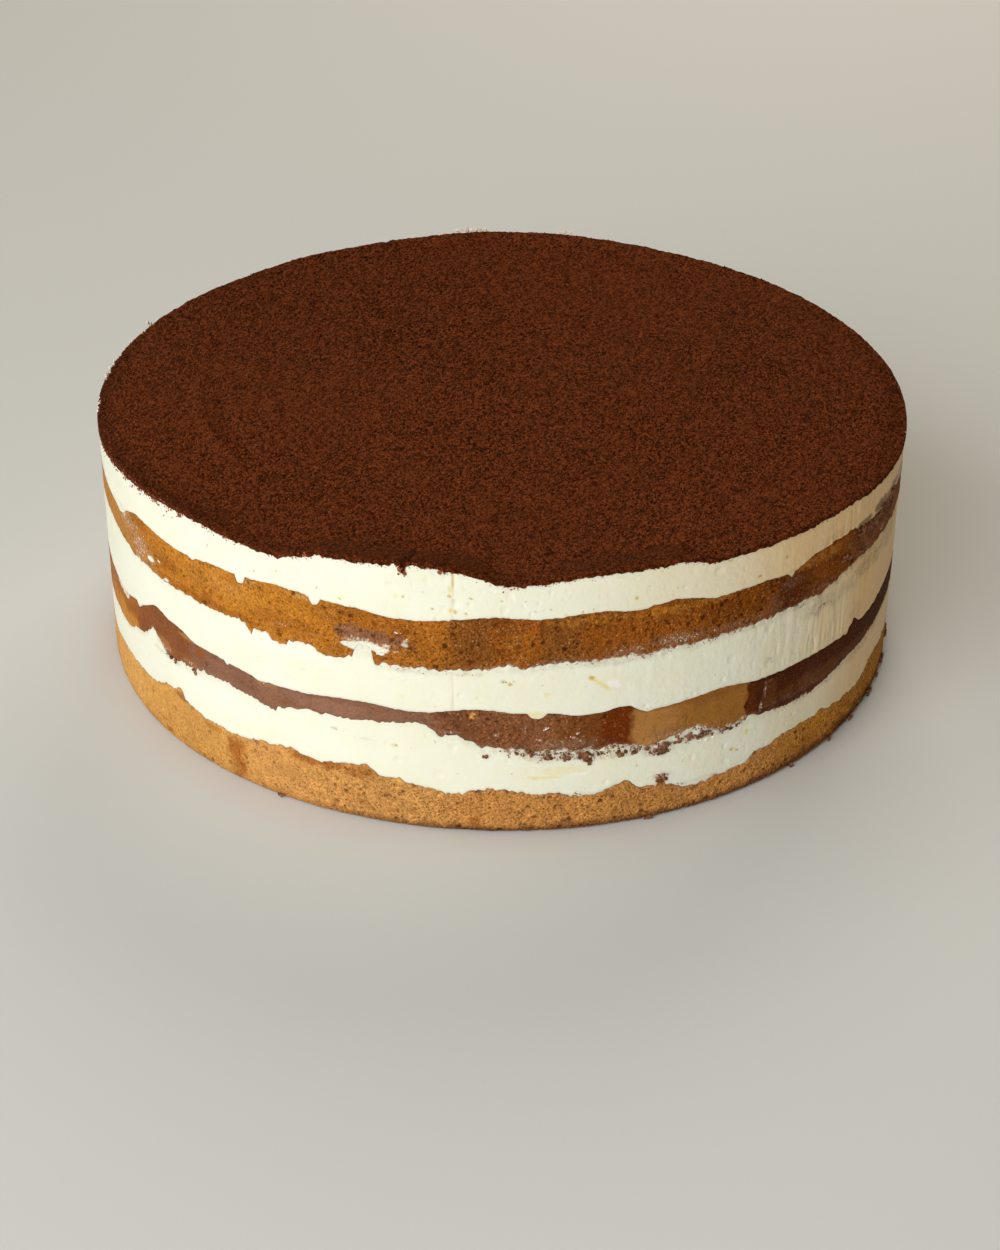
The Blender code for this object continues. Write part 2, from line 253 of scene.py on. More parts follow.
# Cream wiped thin over a sponge's side, in the same measures without the tone
TOP_SMEARS = (
    (-18.6, 59.9, 1.6, 1.3, 1.55), (-15.2, 60.0, 1.3, 1.2, 1.5), (-14.4, 61.6, 0.7, 0.8, 1.0),
    (-15.1, 58.7, 0.5, 0.6, 1.5), (-16.9, 60.4, 2.0, 1.3, 1.6), (-12.0, 62.9, 0.5, 1.2, 0.9),
    (-17.0, 61.8, 3.2, 1.3, 0.7), (-14.0, 61.6, 1.6, 0.8, 0.6),
    (-13.2, 66.4, 0.4, 0.45, 0.9), (-13.1, 60.0, 0.5, 0.5, 0.8), (-11.7, 64.2, 0.35, 0.7, 0.7),
    (-57.5, 62.5, 3.0, 3.4, 0.65), (-54.3, 61.2, 0.9, 0.9, 0.9), (-61.0, 66.5, 3.8, 2.7, 0.60),
    (-64.0, 67.6, 2.0, 0.8, 0.8), (-57.0, 58.5, 4.0, 1.2, 0.60), (-29.3, 61.0, 0.5, 0.3, 0.8),
    (22.5, 61.2, 3.6, 1.9, 0.56), (25.5, 60.6, 2.4, 1.1, 0.60), (16.5, 60.0, 2.6, 1.1, 0.50),
    (41.2, 68.0, 1.6, 2.6, 0.35), (63.0, 64.0, 3.0, 4.0, 0.26), (70.0, 64.0, 7.0, 3.6, 0.26),
    (56.5, 65.0, 2.0, 3.0, 0.25), (8.0, 58.9, 3.5, 0.7, 0.45), (38.0, 63.0, 1.4, 3.0, 0.25),
    (31.0, 60.6, 6.0, 1.1, 0.40), (47.0, 60.6, 3.0, 0.9, 0.3), (-54.6, 60.7, 0.7, 0.8, 1.5),
    (-52.3, 62.1, 0.5, 0.5, 1.3), (-50.6, 57.6, 0.6, 0.6, 1.2), (-24.6, 60.5, 0.9, 0.4, 0.7),
    (54.0, 68.5, 0.6, 1.6, 0.30), (59.0, 64.0, 1.2, 2.0, 0.42), (65.0, 63.8, 1.8, 2.0, 0.45),
    (71.0, 64.5, 2.0, 2.4, 0.45),
)
MIDDLE_SMEARS = (
    (6.0, 36.1, 0.45, 0.5, 0.7), (9.6, 32.6, 0.4, 0.5, 0.7), (10.1, 33.8, 0.3, 0.5, 0.7),
    (5.2, 32.4, 0.6, 0.5, 0.6), (3.4, 35.5, 0.12, 3.6, 0.45), (-0.4, 34.3, 0.4, 0.4, 0.7),
    (8.8, 30.3, 4.6, 1.8, 0.50), (-6.5, 34.6, 2.2, 0.5, 0.5), (37.6, 33.5, 0.22, 3.0, 0.75),
    (38.6, 36.4, 0.5, 0.5, 0.6), (37.0, 28.6, 0.3, 2.0, 0.75), (-52.5, 32.0, 2.2, 1.2, 0.62),
    (-46.0, 32.8, 2.4, 0.9, 0.55), (-73.0, 33.0, 4.0, 3.0, 0.45), (24.5, 28.8, 4.5, 0.8, 0.5),
    (-32.3, 38.7, 1.6, 0.5, 0.5), (46.0, 27.0, 9.0, 1.2, 0.24), (-66.0, 37.2, 3.4, 1.3, 1.0),
    (34.2, 27.0, 1.2, 0.8, 0.7), (46.5, 31.5, 2.0, 3.2, 0.12), (58.0, 28.5, 5.0, 1.5, 0.18),
)
BOTTOM_SMEARS = (
    (-70.0, 13.5, 5.0, 1.2, 0.45), (60.0, 12.5, 4.0, 1.4, 0.5), (34.0, 10.2, 2.5, 0.5, 0.4),
    (-48.5, 18.6, 0.8, 0.6, 0.4),
)
LOWER_CREAM_STAINS = (
    (4.2, 28.6, 1.6, 1.7, 0.70), (8.2, 26.4, 3.4, 2.0, 0.85), (12.5, 25.4, 2.4, 1.7, 0.75),
    (16.6, 25.6, 3.0, 1.7, 0.80), (21.8, 24.4, 2.6, 2.6, 0.80), (26.0, 25.8, 3.0, 1.6, 0.75),
    (31.0, 25.2, 2.4, 1.0, 0.65), (-52.0, 29.8, 3.0, 0.8, 0.6), (-45.5, 31.2, 2.0, 0.7, 0.5),
    (28.1, 25.5, 0.9, 0.8, 2.2), (21.6, 14.6, 1.4, 1.2, 0.9), (46.0, 24.6, 9.0, 1.1, 0.55),
    (1.6, 30.4, 1.6, 1.0, 0.55),
    (8.0, 12.6, 5.0, 0.8, 0.5), (-21.8, 30.0, 0.5, 0.4, 0.7), (-13.7, 27.9, 0.4, 0.5, 0.8),
    (-18.0, 28.6, 1.4, 0.5, 0.35), (60.0, 25.6, 6.0, 1.2, 0.5), (27.0, 9.8, 4.0, 0.7, 0.5),
)
MIDDLE_CREAM_STAINS = (
    (13.0, 57.2, 7.0, 1.1, 0.60), (-12.0, 54.4, 3.5, 0.9, 0.55), (-5.0, 54.7, 2.5, 0.7, 0.5),
    (47.5, 54.2, 4.0, 2.4, 0.60), (37.7, 43.9, 0.7, 1.6, 0.45), (58.0, 42.0, 2.0, 2.5, 0.4),
    (42.5, 58.2, 1.8, 0.9, 0.80), (61.0, 56.0, 6.0, 3.0, 0.60), (53.0, 54.0, 4.0, 3.0, 0.5),
    (28.0, 57.9, 9.0, 0.9, 0.5), (-17.5, 57.5, 1.0, 2.0, 0.3), (0.5, 52.6, 0.35, 0.6, 0.8),
    (69.0, 57.0, 5.0, 4.0, 0.6),
)
TOP_CREAM_STAINS = (
    (57.5, 72.6, 3.0, 1.2, 1.35), (63.5, 73.0, 2.4, 1.5, 1.45), (69.0, 72.8, 3.0, 2.0, 1.45),
    (-64.0, 69.0, 3.0, 1.0, 0.3),
    (41.0, 71.8, 1.4, 0.6, 0.35), (-80.0, 70.5, 7.0, 1.2, 0.45), (50.0, 75.6, 3.0, 1.6, 0.35),
    (74.0, 72.0, 5.0, 3.0, 0.6),
)
# Butter-yellow streaks in the cream, and whiter dabs beside them
YELLOW_STREAKS = (
    (11.8, 52.1, 0.40, 0.7, 1.0), (12.2, 51.4, 0.36, 0.6, 1.0), (12.7, 50.5, 0.32, 0.6, 0.9),
    (13.2, 49.6, 0.30, 0.6, 0.9), (13.7, 48.7, 0.28, 0.6, 0.9), (14.1, 47.8, 0.24, 0.5, 0.8),
    (8.6, 21.3, 2.6, 1.5, 0.35), (5.6, 19.2, 2.4, 0.4, 0.8), (34.8, 21.2, 0.3, 0.9, 1.0),
    (32.6, 16.8, 0.7, 0.7, 0.6), (4.9, 41.0, 1.3, 0.9, 0.6), (-13.0, 78.5, 0.25, 0.4, 0.8),
    (-6.3, 82.0, 0.22, 1.4, 0.8), (-6.2, 75.4, 0.3, 0.7, 1.0), (-4.6, 82.8, 0.15, 0.6, 0.5),
    (39.7, 77.4, 0.3, 0.5, 1.0), (40.0, 54.4, 0.4, 0.4, 0.7), (-13.2, 27.9, 0.3, 0.3, 0.7),
    (6.1, 48.0, 0.4, 0.6, 0.6), (1.4, 51.7, 0.3, 0.4, 1.0),
    (-12.4, 45.5, 0.3, 0.5, 0.4), (17.2, 77.2, 0.25, 0.6, 0.8),
)
CREAM_SPECKS = (
    (-12.1, 78.5, 0.16, 0.35), (-8.4, 75.6, 0.20, 0.35), (-6.3, 80.0, 0.26, 0.5),
    (-5.6, 75.0, 0.22, 0.55), (-4.2, 74.6, 0.14, 0.4), (-3.6, 79.6, 0.25, 0.3),
    (0.2, 79.0, 0.13, 0.3), (6.3, 76.0, 0.14, 0.3), (10.3, 74.6, 0.14, 0.4),
    (11.7, 75.0, 0.12, 0.3), (17.2, 77.1, 0.18, 0.5), (22.7, 78.3, 0.14, 0.3),
    (35.1, 74.5, 0.30, 0.4), (39.7, 77.4, 0.20, 0.5), (-23.6, 76.6, 0.16, 0.3),
    (-29.5, 78.4, 0.12, 0.3), (-20.5, 74.6, 0.16, 0.3), (-33.0, 76.0, 0.12, 0.3),
    (1.4, 51.7, 0.22, 0.4), (-13.3, 28.1, 0.20, 0.35), (-8.2, 30.9, 0.10, 0.2),
    (-8.2, 42.9, 0.10, 0.2), (-9.6, 80.8, 0.12, 0.25), (4.4, 75.4, 0.12, 0.3),
    (3.2, 78.8, 0.10, 0.25), (18.2, 20.0, 0.14, 0.3), (-41.0, 78.2, 0.12, 0.3),
    (11.7, 52.5, 0.30, 0.5), (33.4, 15.9, 0.20, 0.3), (32.4, 16.8, 0.20, 0.35),
    (22.9, 54.8, 0.12, 0.3),
)
WHITE_DABS = (
    (14.5, 49.9, 0.8, 0.8, 1.0), (15.4, 48.9, 0.6, 0.6, 1.0), (10.2, 19.6, 1.2, 0.5, 1.0),
    (35.5, 22.5, 0.5, 0.6, 0.9),
    (33.6, 17.2, 0.7, 0.9, 0.8), (40.5, 55.0, 0.6, 0.6, 0.8), (27.8, 27.2, 1.2, 1.4, 0.9),
    (5.6, 40.6, 0.8, 0.6, 0.5), (-27.0, 54.0, 8.0, 3.0, 0.4), (-40.0, 26.0, 9.0, 4.0, 0.4),
)


def eased_line(points, azimuth):
    """Values of a closed line at many azimuths, rounded off at every point."""
    places = np.array([place for place, value in points], float)
    values = np.array([value for place, value in points], float)
    wrapped = (azimuth - places[0]) % 360.0 + places[0]
    places = np.append(places, places[0] + 360.0)
    values = np.concatenate([values, values[:1]])
    after = np.clip(np.searchsorted(places, wrapped, side="right"), 1, len(places) - 1)
    share = (wrapped - places[after - 1]) / (places[after] - places[after - 1])
    share = (1.0 - np.cos(np.pi * share)) / 2.0
    if values.ndim > 1:
        share = share[:, None]
    return values[after - 1] + (values[after] - values[after - 1]) * share


def turn_between(azimuth, centre):
    """Degrees from a centre to many azimuths, the short way round."""
    return (azimuth - centre + 180.0) % 360.0 - 180.0


def wander(azimuth, knots, seed):
    """Smooth seeded noise from -1 to 1 round the cake, with a number of knots."""
    draw = np.random.default_rng(seed)
    values = draw.uniform(-1.0, 1.0, knots)
    place = (azimuth % 360.0) / 360.0 * knots
    before = np.floor(place).astype(int)
    share = place - before
    share = share * share * (3.0 - 2.0 * share)
    return values[before % knots] * (1.0 - share) + values[(before + 1) % knots] * share


def swells(azimuth, height, size, seed, stretch=1.0):
    """Smooth seeded noise from -1 to 1 over the side, in cells of a size that wrap round it."""
    around = max(3, round(2 * math.pi * RADIUS / size))
    up = size / stretch
    rows = int(NOISE_HEIGHT / up) + 4
    values = np.random.default_rng(seed).uniform(-1.0, 1.0, (around, rows))
    across, rise = (azimuth % 360.0) / 360.0 * around, height / up + 1.0
    left, low = np.floor(across).astype(int), np.floor(rise).astype(int)
    right_share, high_share = across - left, rise - low
    right_share = right_share * right_share * (3.0 - 2.0 * right_share)
    high_share = high_share * high_share * (3.0 - 2.0 * high_share)
    left, right = left % around, (left + 1) % around
    low = np.clip(low, 0, rows - 2)
    under = values[left, low] * (1.0 - right_share) + values[right, low] * right_share
    over = values[left, low + 1] * (1.0 - right_share) + values[right, low + 1] * right_share
    return under * (1.0 - high_share) + over * high_share


def pits(azimuth, height, size, filled, seed, flat=1.0):
    """Seeded round pits, one to a cell at most: 1 in the middle of a pit and 0 outside."""
    around = max(3, round(2 * math.pi * RADIUS / size))
    rows = int(NOISE_HEIGHT / size) + 5
    draw = np.random.default_rng(seed)
    shift_across, shift_up, reach, chance = draw.random((4, around, rows))
    reach = np.where(chance < filled, 0.16 + 0.30 * reach * reach, 1e-6)
    across, rise = (azimuth % 360.0) / 360.0 * around, height / size + 2.0
    column, row = np.floor(across).astype(int), np.floor(rise).astype(int)
    deepest = np.zeros_like(azimuth)
    for side in (-1, 0, 1):
        for step in (-1, 0, 1):
            cell = (column + side) % around
            level = np.clip(row + step, 0, rows - 1)
            dx = column + side + shift_across[cell, level] - across
            dy = (row + step + shift_up[cell, level] - rise) * flat
            far = (dx * dx + dy * dy) / reach[cell, level] ** 2
            deepest = np.maximum(deepest, np.clip(1.0 - far, 0.0, 1.0))
    return deepest


def patch_mask(patches, azimuth, height, ragged, seed):
    """How strongly each of some patches covers each point of the side, with ragged edges."""
    push = swells(azimuth, height, 2.6 * MM, seed) + 0.6 * swells(azimuth, height, 1.1 * MM,
                                                                   seed + 1)
    masks = []
    for patch in patches:
        centre, level, half_width, half_height, strength = (*patch[:4], patch[-1])
        across = turn_between(azimuth, centre) / half_width
        up = (height / MM - level) / half_height
        far = np.sqrt(across * across + up * up) + ragged * push
        mask = np.clip(1.6 - 1.1 * far, 0.0, 1.0)
        masks.append(strength * mask * mask * (3.0 - 2.0 * mask))
    return masks


def strewn(plan, seed, count, size, low_share, high_share, weak, strong, tones=()):
    """Seeded patches round the back of a layer, in the measures of the patches above."""
    draw = np.random.default_rng(seed)
    patches = []
    for azimuth in draw.uniform(BACK_FROM, BACK_TO, count):
        place, edge = np.array([azimuth]), np.zeros(1)
        low = LINES[plan["under"]].height(place, edge)[0] / MM
        high = LINES[plan["over"]].height(place, edge)[0] / MM
        level = low + (high - low) * draw.uniform(low_share, high_share)
        width = size * draw.uniform(0.25, 1.0)
        tone = [tones[draw.integers(len(tones))]] if tones else []
        patches.append((azimuth, level, width, 2.3 * width * draw.uniform(0.3, 0.9), *tone,
                        draw.uniform(weak, strong)))
    return patches


class RimLine:
    """A line round the rim with its nicks and raggedness, and its level inside the cake."""

    def __init__(self, turns, nicks, seed, ragged, fine, level=None, width=EASE_WIDTH):
        azimuth = np.arange(COLUMNS) * 360.0 / COLUMNS - 180.0
        rim = eased_line(turns, azimuth)
        for tip, left, right, rise, fullness in nicks:
            off = turn_between(azimuth, tip)
            off = np.abs(off) / np.where(off < 0, left, right)
            rim += rise * (1.0 - np.clip(off, 0.0, 1.0) ** fullness)
        rim += ragged * wander(azimuth, 240, seed) + 0.6 * ragged * wander(azimuth, 480, seed + 1)
        rim += fine * wander(azimuth, 1000, seed + 2)
        self.rim = rim * MM
        self.level = float(self.rim.mean()) if level is None else level
        self.width = width

    def at_rim(self, azimuth):
        """Height at the side."""
        column = np.rint((azimuth + 180.0) * COLUMNS / 360.0).astype(int) % COLUMNS
        return self.rim[column]

    def height(self, azimuth, inset):
        """Height at some azimuths, a given way in from the side."""
        share = np.clip(1.0 - inset / self.width, 0.0, 1.0)
        ease = share * share * (3.0 - 2.0 * share)
        return self.level + (self.at_rim(azimuth) - self.level) * ease


class FlatFoot:
    """The flat underside."""

    def height(self, azimuth, inset):
        return np.zeros_like(azimuth)


LINES = {
    "foot": FlatFoot(),
    "bottom_over": RimLine(BOTTOM_SPONGE_TOP, BOTTOM_SPONGE_NICKS, 11, 0.32, 0.30),
    "middle_under": RimLine(MIDDLE_SPONGE_UNDER, MIDDLE_UNDER_NICKS, 21, 0.30, 0.36),
    "middle_over": RimLine(MIDDLE_SPONGE_TOP, MIDDLE_TOP_NICKS, 31, 0.14, 0.09),
    "top_under": RimLine(TOP_SPONGE_UNDER, TOP_UNDER_NICKS, 41, 0.32, 0.42),
    "top_over": RimLine(TOP_SPONGE_TOP, TOP_OVER_NICKS, 51, 0.14, 0.13),
    "rim": RimLine(TOP_RIM, RIM_NICKS, 61, 0.13, 0.16, TOP_LEVEL, 8.0 * MM),
}


def deselect():
    """Leave object mode with nothing selected."""
    if bpy.context.object and bpy.context.object.mode != "OBJECT":
        bpy.ops.object.mode_set(mode="OBJECT")
    bpy.ops.object.select_all(action="DESELECT")


def points_of(piece):
    """A piece's vertices as an array."""
    places = np.empty(len(piece.data.vertices) * 3)
    piece.data.vertices.foreach_get("co", places)
    return places.reshape(-1, 3)


def place_points(piece, places):
    """Move a piece's vertices to an array of places."""
    piece.data.vertices.foreach_set("co", places.ravel())
    piece.data.update()


def set_mask(piece, name, values):
    """Store a value for each vertex under a name that a material reads."""
    layer = piece.data.attributes.new(name, "FLOAT", "POINT")
    layer.data.foreach_set("value", np.ascontiguousarray(values, dtype=np.float32))


def set_tone(piece, name, colors):
    """Store a colour for each vertex under a name that a material reads."""
    layer = piece.data.color_attributes.new(name, "FLOAT_COLOR", "POINT")
    full = np.ones((len(colors), 4), dtype=np.float32)
    full[:, :3] = colors
    layer.data.foreach_set("color", full.ravel())


def azimuth_of(places):
    """Degrees from the front towards the right, for many points."""
    return np.degrees(np.arctan2(places[:, 0], -places[:, 1]))


def round_slab(name, rows):
    """A slab one metre tall, with rows round its side and a ring set into each end."""
    deselect()
    bpy.ops.mesh.primitive_cylinder_add(vertices=COLUMNS, radius=RADIUS, depth=1.0,
                                        end_fill_type="NGON", location=(0.0, 0.0, 0.5))
    slab = bpy.context.object
    slab.name = slab.data.name = name
    bpy.ops.object.transform_apply(location=True, rotation=True, scale=True)
    bpy.ops.object.mode_set(mode="EDIT")
    bpy.ops.mesh.select_mode(type="EDGE")
    bpy.ops.mesh.select_all(action="DESELECT")
    mesh = bmesh.from_edit_mesh(slab.data)
    for edge in mesh.edges:
        ends = [vertex.co.z for vertex in edge.verts]
        edge.select_set(max(ends) - min(ends) > 0.5)
    bmesh.update_edit_mesh(slab.data)
    bpy.ops.mesh.subdivide(number_cuts=rows - 1)
    bpy.ops.mesh.select_mode(type="FACE")
    bpy.ops.mesh.select_all(action="DESELECT")
    mesh = bmesh.from_edit_mesh(slab.data)
    for face in mesh.faces:
        face.select_set(len(face.verts) == COLUMNS)
    bmesh.update_edit_mesh(slab.data)
    for width in (EASE_WIDTH / 2, EASE_WIDTH / 2):
        bpy.ops.mesh.inset(thickness=width, use_even_offset=True)
    bpy.ops.object.mode_set(mode="OBJECT")
    return slab


def settle(slab, under, over, dent_at):
    """Shape a slab between two lines, and press the dents into its side."""
    places = points_of(slab)
    azimuth = azimuth_of(places)
    inset = RADIUS - np.hypot(places[:, 0], places[:, 1])
    share = places[:, 2]
    side = inset < 0.01 * MM
    inset = np.where(side, 0.0, inset)
    low, high = LINES[under].height(azimuth, inset), LINES[over].height(azimuth, inset)
    height = low + (high - low) * share
    dent = dent_at(azimuth, height, low, high)
    radius = RADIUS - np.where(side, dent, inset)
    turn = np.radians(azimuth)
    place_points(slab, np.column_stack([radius * np.sin(turn), -radius * np.cos(turn), height]))
    return azimuth, height, low, high, side


def edge_fall(height, low, high, reach):
    """1 at a layer's two edges, falling to 0 a given way in from them."""
    near = np.minimum(height - low, high - height)
    return np.clip(1.0 - near / reach, 0.0, 1.0) ** 2


def shade(piece, angle=50.0):
    """Smooth shading with sharp edges past an angle."""
    deselect()
    piece.select_set(True)
    bpy.context.view_layer.objects.active = piece
    bpy.ops.object.shade_smooth_by_angle(angle=math.radians(angle))


def finish_piece(piece, material, node):
    """Give a piece its material, and let it stand for its node."""
    piece.data.materials.clear()
    piece.data.materials.append(material)
    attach(piece, "root")
    if node:
        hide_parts(node)


class NodeMaker:
    """Adds and links nodes in a tree, in the order in which a material is read."""

    def __init__(self, tree):
        self.tree = tree

    def node(self, kind, inputs=(), **settings):
        made = self.tree.nodes.new(kind)
        for name, value in settings.items():
            setattr(made, name, value)
        for key, value in dict(inputs).items():
            self.feed(made.inputs[key], value)
        return made

    def feed(self, socket, value):
        if isinstance(value, bpy.types.NodeSocket):
            self.tree.links.new(value, socket)
        else:
            socket.default_value = value

    def math(self, operation, first, second=0.0, third=0.0, clamp=False):
        return self.node("ShaderNodeMath", {0: first, 1: second, 2: third},
                         operation=operation, use_clamp=clamp).outputs[0]

    def mix(self, share, first, second, blend="MIX"):
        made = self.node("ShaderNodeMix", data_type="RGBA", blend_type=blend)
        self.feed(made.inputs[0], share)
        self.feed(made.inputs[6], first)
        self.feed(made.inputs[7], second)
        return made.outputs[2]

    def span(self, value, low, high, to_low=0.0, to_high=1.0, smooth=False):
        return self.node("ShaderNodeMapRange",
                         {0: value, 1: low, 2: high, 3: to_low, 4: to_high},
                         interpolation_type="SMOOTHSTEP" if smooth else "LINEAR").outputs[0]

    def mask(self, name):
        return self.node("ShaderNodeAttribute", attribute_name=name).outputs["Fac"]

    def tone(self, name):
        return self.node("ShaderNodeAttribute", attribute_name=name).outputs["Color"]

    def group(self, group, inputs):
        made = self.node("ShaderNodeGroup", node_tree=group)
        for key, value in inputs.items():
            self.feed(made.inputs[key], value)
        return made.outputs


def new_group(name, inputs, outputs):
    """An empty shader node group with its sockets, and the ends of its tree."""
    group = bpy.data.node_groups.new(name, "ShaderNodeTree")
    for socket, (kind, value) in inputs.items():
        made = group.interface.new_socket(socket, in_out="INPUT", socket_type=kind)
        made.default_value = value
    for socket, kind in outputs.items():
        group.interface.new_socket(socket, in_out="OUTPUT", socket_type=kind)
    start = group.nodes.new("NodeGroupInput")
    end = group.nodes.new("NodeGroupOutput")
    return group, NodeMaker(group), start, end


def grain_group():
    """Crumb or powder grain: a fine and a coarse noise on Object coordinates."""
    group, make, start, end = new_group(
        "Food grain",
        {"Fine": ("NodeSocketFloat", 1.0), "Coarse": ("NodeSocketFloat", 1.0),
         "Balance": ("NodeSocketFloat", 0.5)},
        {"Value": "NodeSocketFloat", "Coarse Value": "NodeSocketFloat"})
    where = make.node("ShaderNodeTexCoord").outputs["Object"]
    fine = make.node("ShaderNodeTexNoise", {"Vector": where, "Scale": start.outputs["Fine"],
                                            "Detail": 3.0, "Roughness": 0.6}).outputs[0]
    coarse = make.node("ShaderNodeTexNoise", {"Vector": where, "Scale": start.outputs["Coarse"],
                                              "Detail": 2.0, "Roughness": 0.5}).outputs[0]
    both = make.node("ShaderNodeMix", {0: start.outputs["Balance"], 2: fine, 3: coarse})
    make.feed(end.inputs["Value"], both.outputs[0])
    make.feed(end.inputs["Coarse Value"], coarse)
    return group


def bent_place(make, scale, amount):
    """Object coordinates pushed about by noise, so that cells aren't round or straight."""
    where = make.node("ShaderNodeTexCoord").outputs["Object"]
    bend = make.node("ShaderNodeTexNoise", {"Vector": where, "Scale": scale, "Detail": 1.0})
    bend = make.node("ShaderNodeVectorMath", {0: bend.outputs["Color"], 1: (amount,) * 3},
                     operation="MULTIPLY").outputs[0]
    return make.node("ShaderNodeVectorMath", {0: where, 1: bend}, operation="ADD").outputs[0]


def spot_mask(make, where, scale, share, size):
    """Mask of round spots of several sizes, one to a cell, in a share of the cells."""
    cell = make.node("ShaderNodeTexVoronoi", {"Vector": where, "Scale": scale})
    chance = make.node("ShaderNodeSeparateColor", {0: cell.outputs["Color"]}).outputs
    there = make.math("LESS_THAN", chance[0], share)
    reach = make.math("MULTIPLY", size, make.math("MULTIPLY_ADD", chance[1], 0.8, 0.5))
    far = make.math("DIVIDE", cell.outputs["Distance"], reach)
    return make.math("MULTIPLY", make.span(far, 0.55, 1.0, 1.0, 0.0, smooth=True), there)


def speck_group():
    """Sparse specks, in a share of the cells."""
    group, make, start, end = new_group(
        "Food specks",
        {"Scale": ("NodeSocketFloat", 500.0), "Share": ("NodeSocketFloat", 0.5),
         "Size": ("NodeSocketFloat", 0.3)},
        {"Mask": "NodeSocketFloat"})
    where = bent_place(make, 900.0, 0.0006)
    mask = spot_mask(make, where, start.outputs["Scale"], start.outputs["Share"],
                     start.outputs["Size"])
    make.feed(end.inputs["Mask"], mask)
    return group


def crumb_group():
    """Open crumb: grains that each have their own tone, with ragged pores between them."""
    group, make, start, end = new_group(
        "Baked crumb",
        {"Skin": ("NodeSocketFloat", 0.0), "Pore Share": ("NodeSocketFloat", 0.5)},
        {"Light": "NodeSocketFloat", "Pores": "NodeSocketFloat", "Glints": "NodeSocketFloat",
         "Height": "NodeSocketFloat"})
    where = bent_place(make, 900.0, 0.0008)
    grains = make.node("ShaderNodeTexVoronoi", {"Vector": where, "Scale": 1450.0})
    chance = make.node("ShaderNodeSeparateColor", {0: grains.outputs["Color"]}).outputs
    ragged = make.node("ShaderNodeTexNoise", {"Vector": where, "Scale": 640.0, "Detail": 4.0,
                                              "Roughness": 0.72}).outputs[0]
    lumps = make.node("ShaderNodeTexNoise", {"Vector": where, "Scale": 260.0,
                                             "Detail": 1.0}).outputs[0]
    wide = spot_mask(make, where, 330.0, start.outputs["Pore Share"], 0.27)
    small = spot_mask(make, where, 820.0, 0.42, 0.30)
    open_share = make.math("MULTIPLY_ADD", start.outputs["Skin"], -0.80, 1.0, clamp=True)
    grit = make.node("ShaderNodeTexNoise", {"Vector": where, "Scale": 1500.0, "Detail": 2.0,
                                            "Roughness": 0.7}).outputs[0]
    light = make.math("MULTIPLY", make.span(chance[0], 0.0, 1.0, 0.80, 1.22),
                      make.span(grit, 0.32, 0.68, 0.68, 1.32))
    light = make.math("MULTIPLY", light, make.span(lumps, 0.30, 0.70, 0.95, 1.11))
    light = make.math("MULTIPLY_ADD", make.math("SUBTRACT", light, 1.0), open_share, 1.0)
    cracks = make.span(grit, 0.37, 0.41, 1.0, 0.0, smooth=True)
    pores = make.math("MAXIMUM", wide, make.math("MULTIPLY", cracks, 0.75))
    pores = make.math("MAXIMUM", pores, small)
    pores = make.math("MULTIPLY", pores, open_share)
    glints = make.math("MULTIPLY", make.math("GREATER_THAN", chance[1], 0.80),
                       make.span(grains.outputs["Distance"], 0.25, 0.5, 1.0, 0.0))
    rise = make.math("MULTIPLY_ADD", ragged, 1.3, make.math("MULTIPLY", grit, 1.2))
    rise = make.math("MULTIPLY_ADD", grains.outputs["Distance"], -0.8, rise)
    rise = make.math("MULTIPLY_ADD", wide, -1.6, rise)
    make.feed(end.inputs["Light"], light)
    make.feed(end.inputs["Pores"], pores)
    make.feed(end.inputs["Glints"], make.math("MULTIPLY", glints, open_share))
    make.feed(end.inputs["Height"], make.math("MULTIPLY", rise, open_share))
    return group


def smear_group():
    """A painted mask broken up over crumb: a soft film, and fine bits where it is strong."""
    group, make, start, end = new_group(
        "Wiped smear",
        {"Cover": ("NodeSocketFloat", 0.0), "Reach": ("NodeSocketFloat", 0.4)},
        {"Film": "NodeSocketFloat", "Bits": "NodeSocketFloat", "Solid": "NodeSocketFloat"})
    where = bent_place(make, 1200.0, 0.0004)
    soft = make.node("ShaderNodeTexNoise", {"Vector": where, "Scale": 480.0, "Detail": 3.0,
                                            "Roughness": 0.6}).outputs[0]
    fine = make.node("ShaderNodeTexNoise", {"Vector": where, "Scale": 1150.0, "Detail": 2.0,
                                            "Roughness": 0.6}).outputs[0]
    cover = start.outputs["Cover"]
    film = make.math("MULTIPLY", cover, make.span(soft, 0.32, 0.66, 0.35, 1.25), clamp=True)
    edge = make.math("MULTIPLY_ADD", cover, start.outputs["Reach"], fine)
    bits = make.span(edge, 0.80, 0.87, smooth=True)
    solid = make.span(make.math("MULTIPLY_ADD", soft, 0.7, cover), 0.95, 1.75, smooth=True)
    make.feed(end.inputs["Film"], film)
    make.feed(end.inputs["Bits"], bits)
    make.feed(end.inputs["Solid"], solid)
    return group


def new_material(name):
    """A material with its Principled shader and a maker for its tree."""
    material = bpy.data.materials.new(name)
    material.use_nodes = True
    tree = material.node_tree
    return material, NodeMaker(tree), tree.nodes["Principled BSDF"]


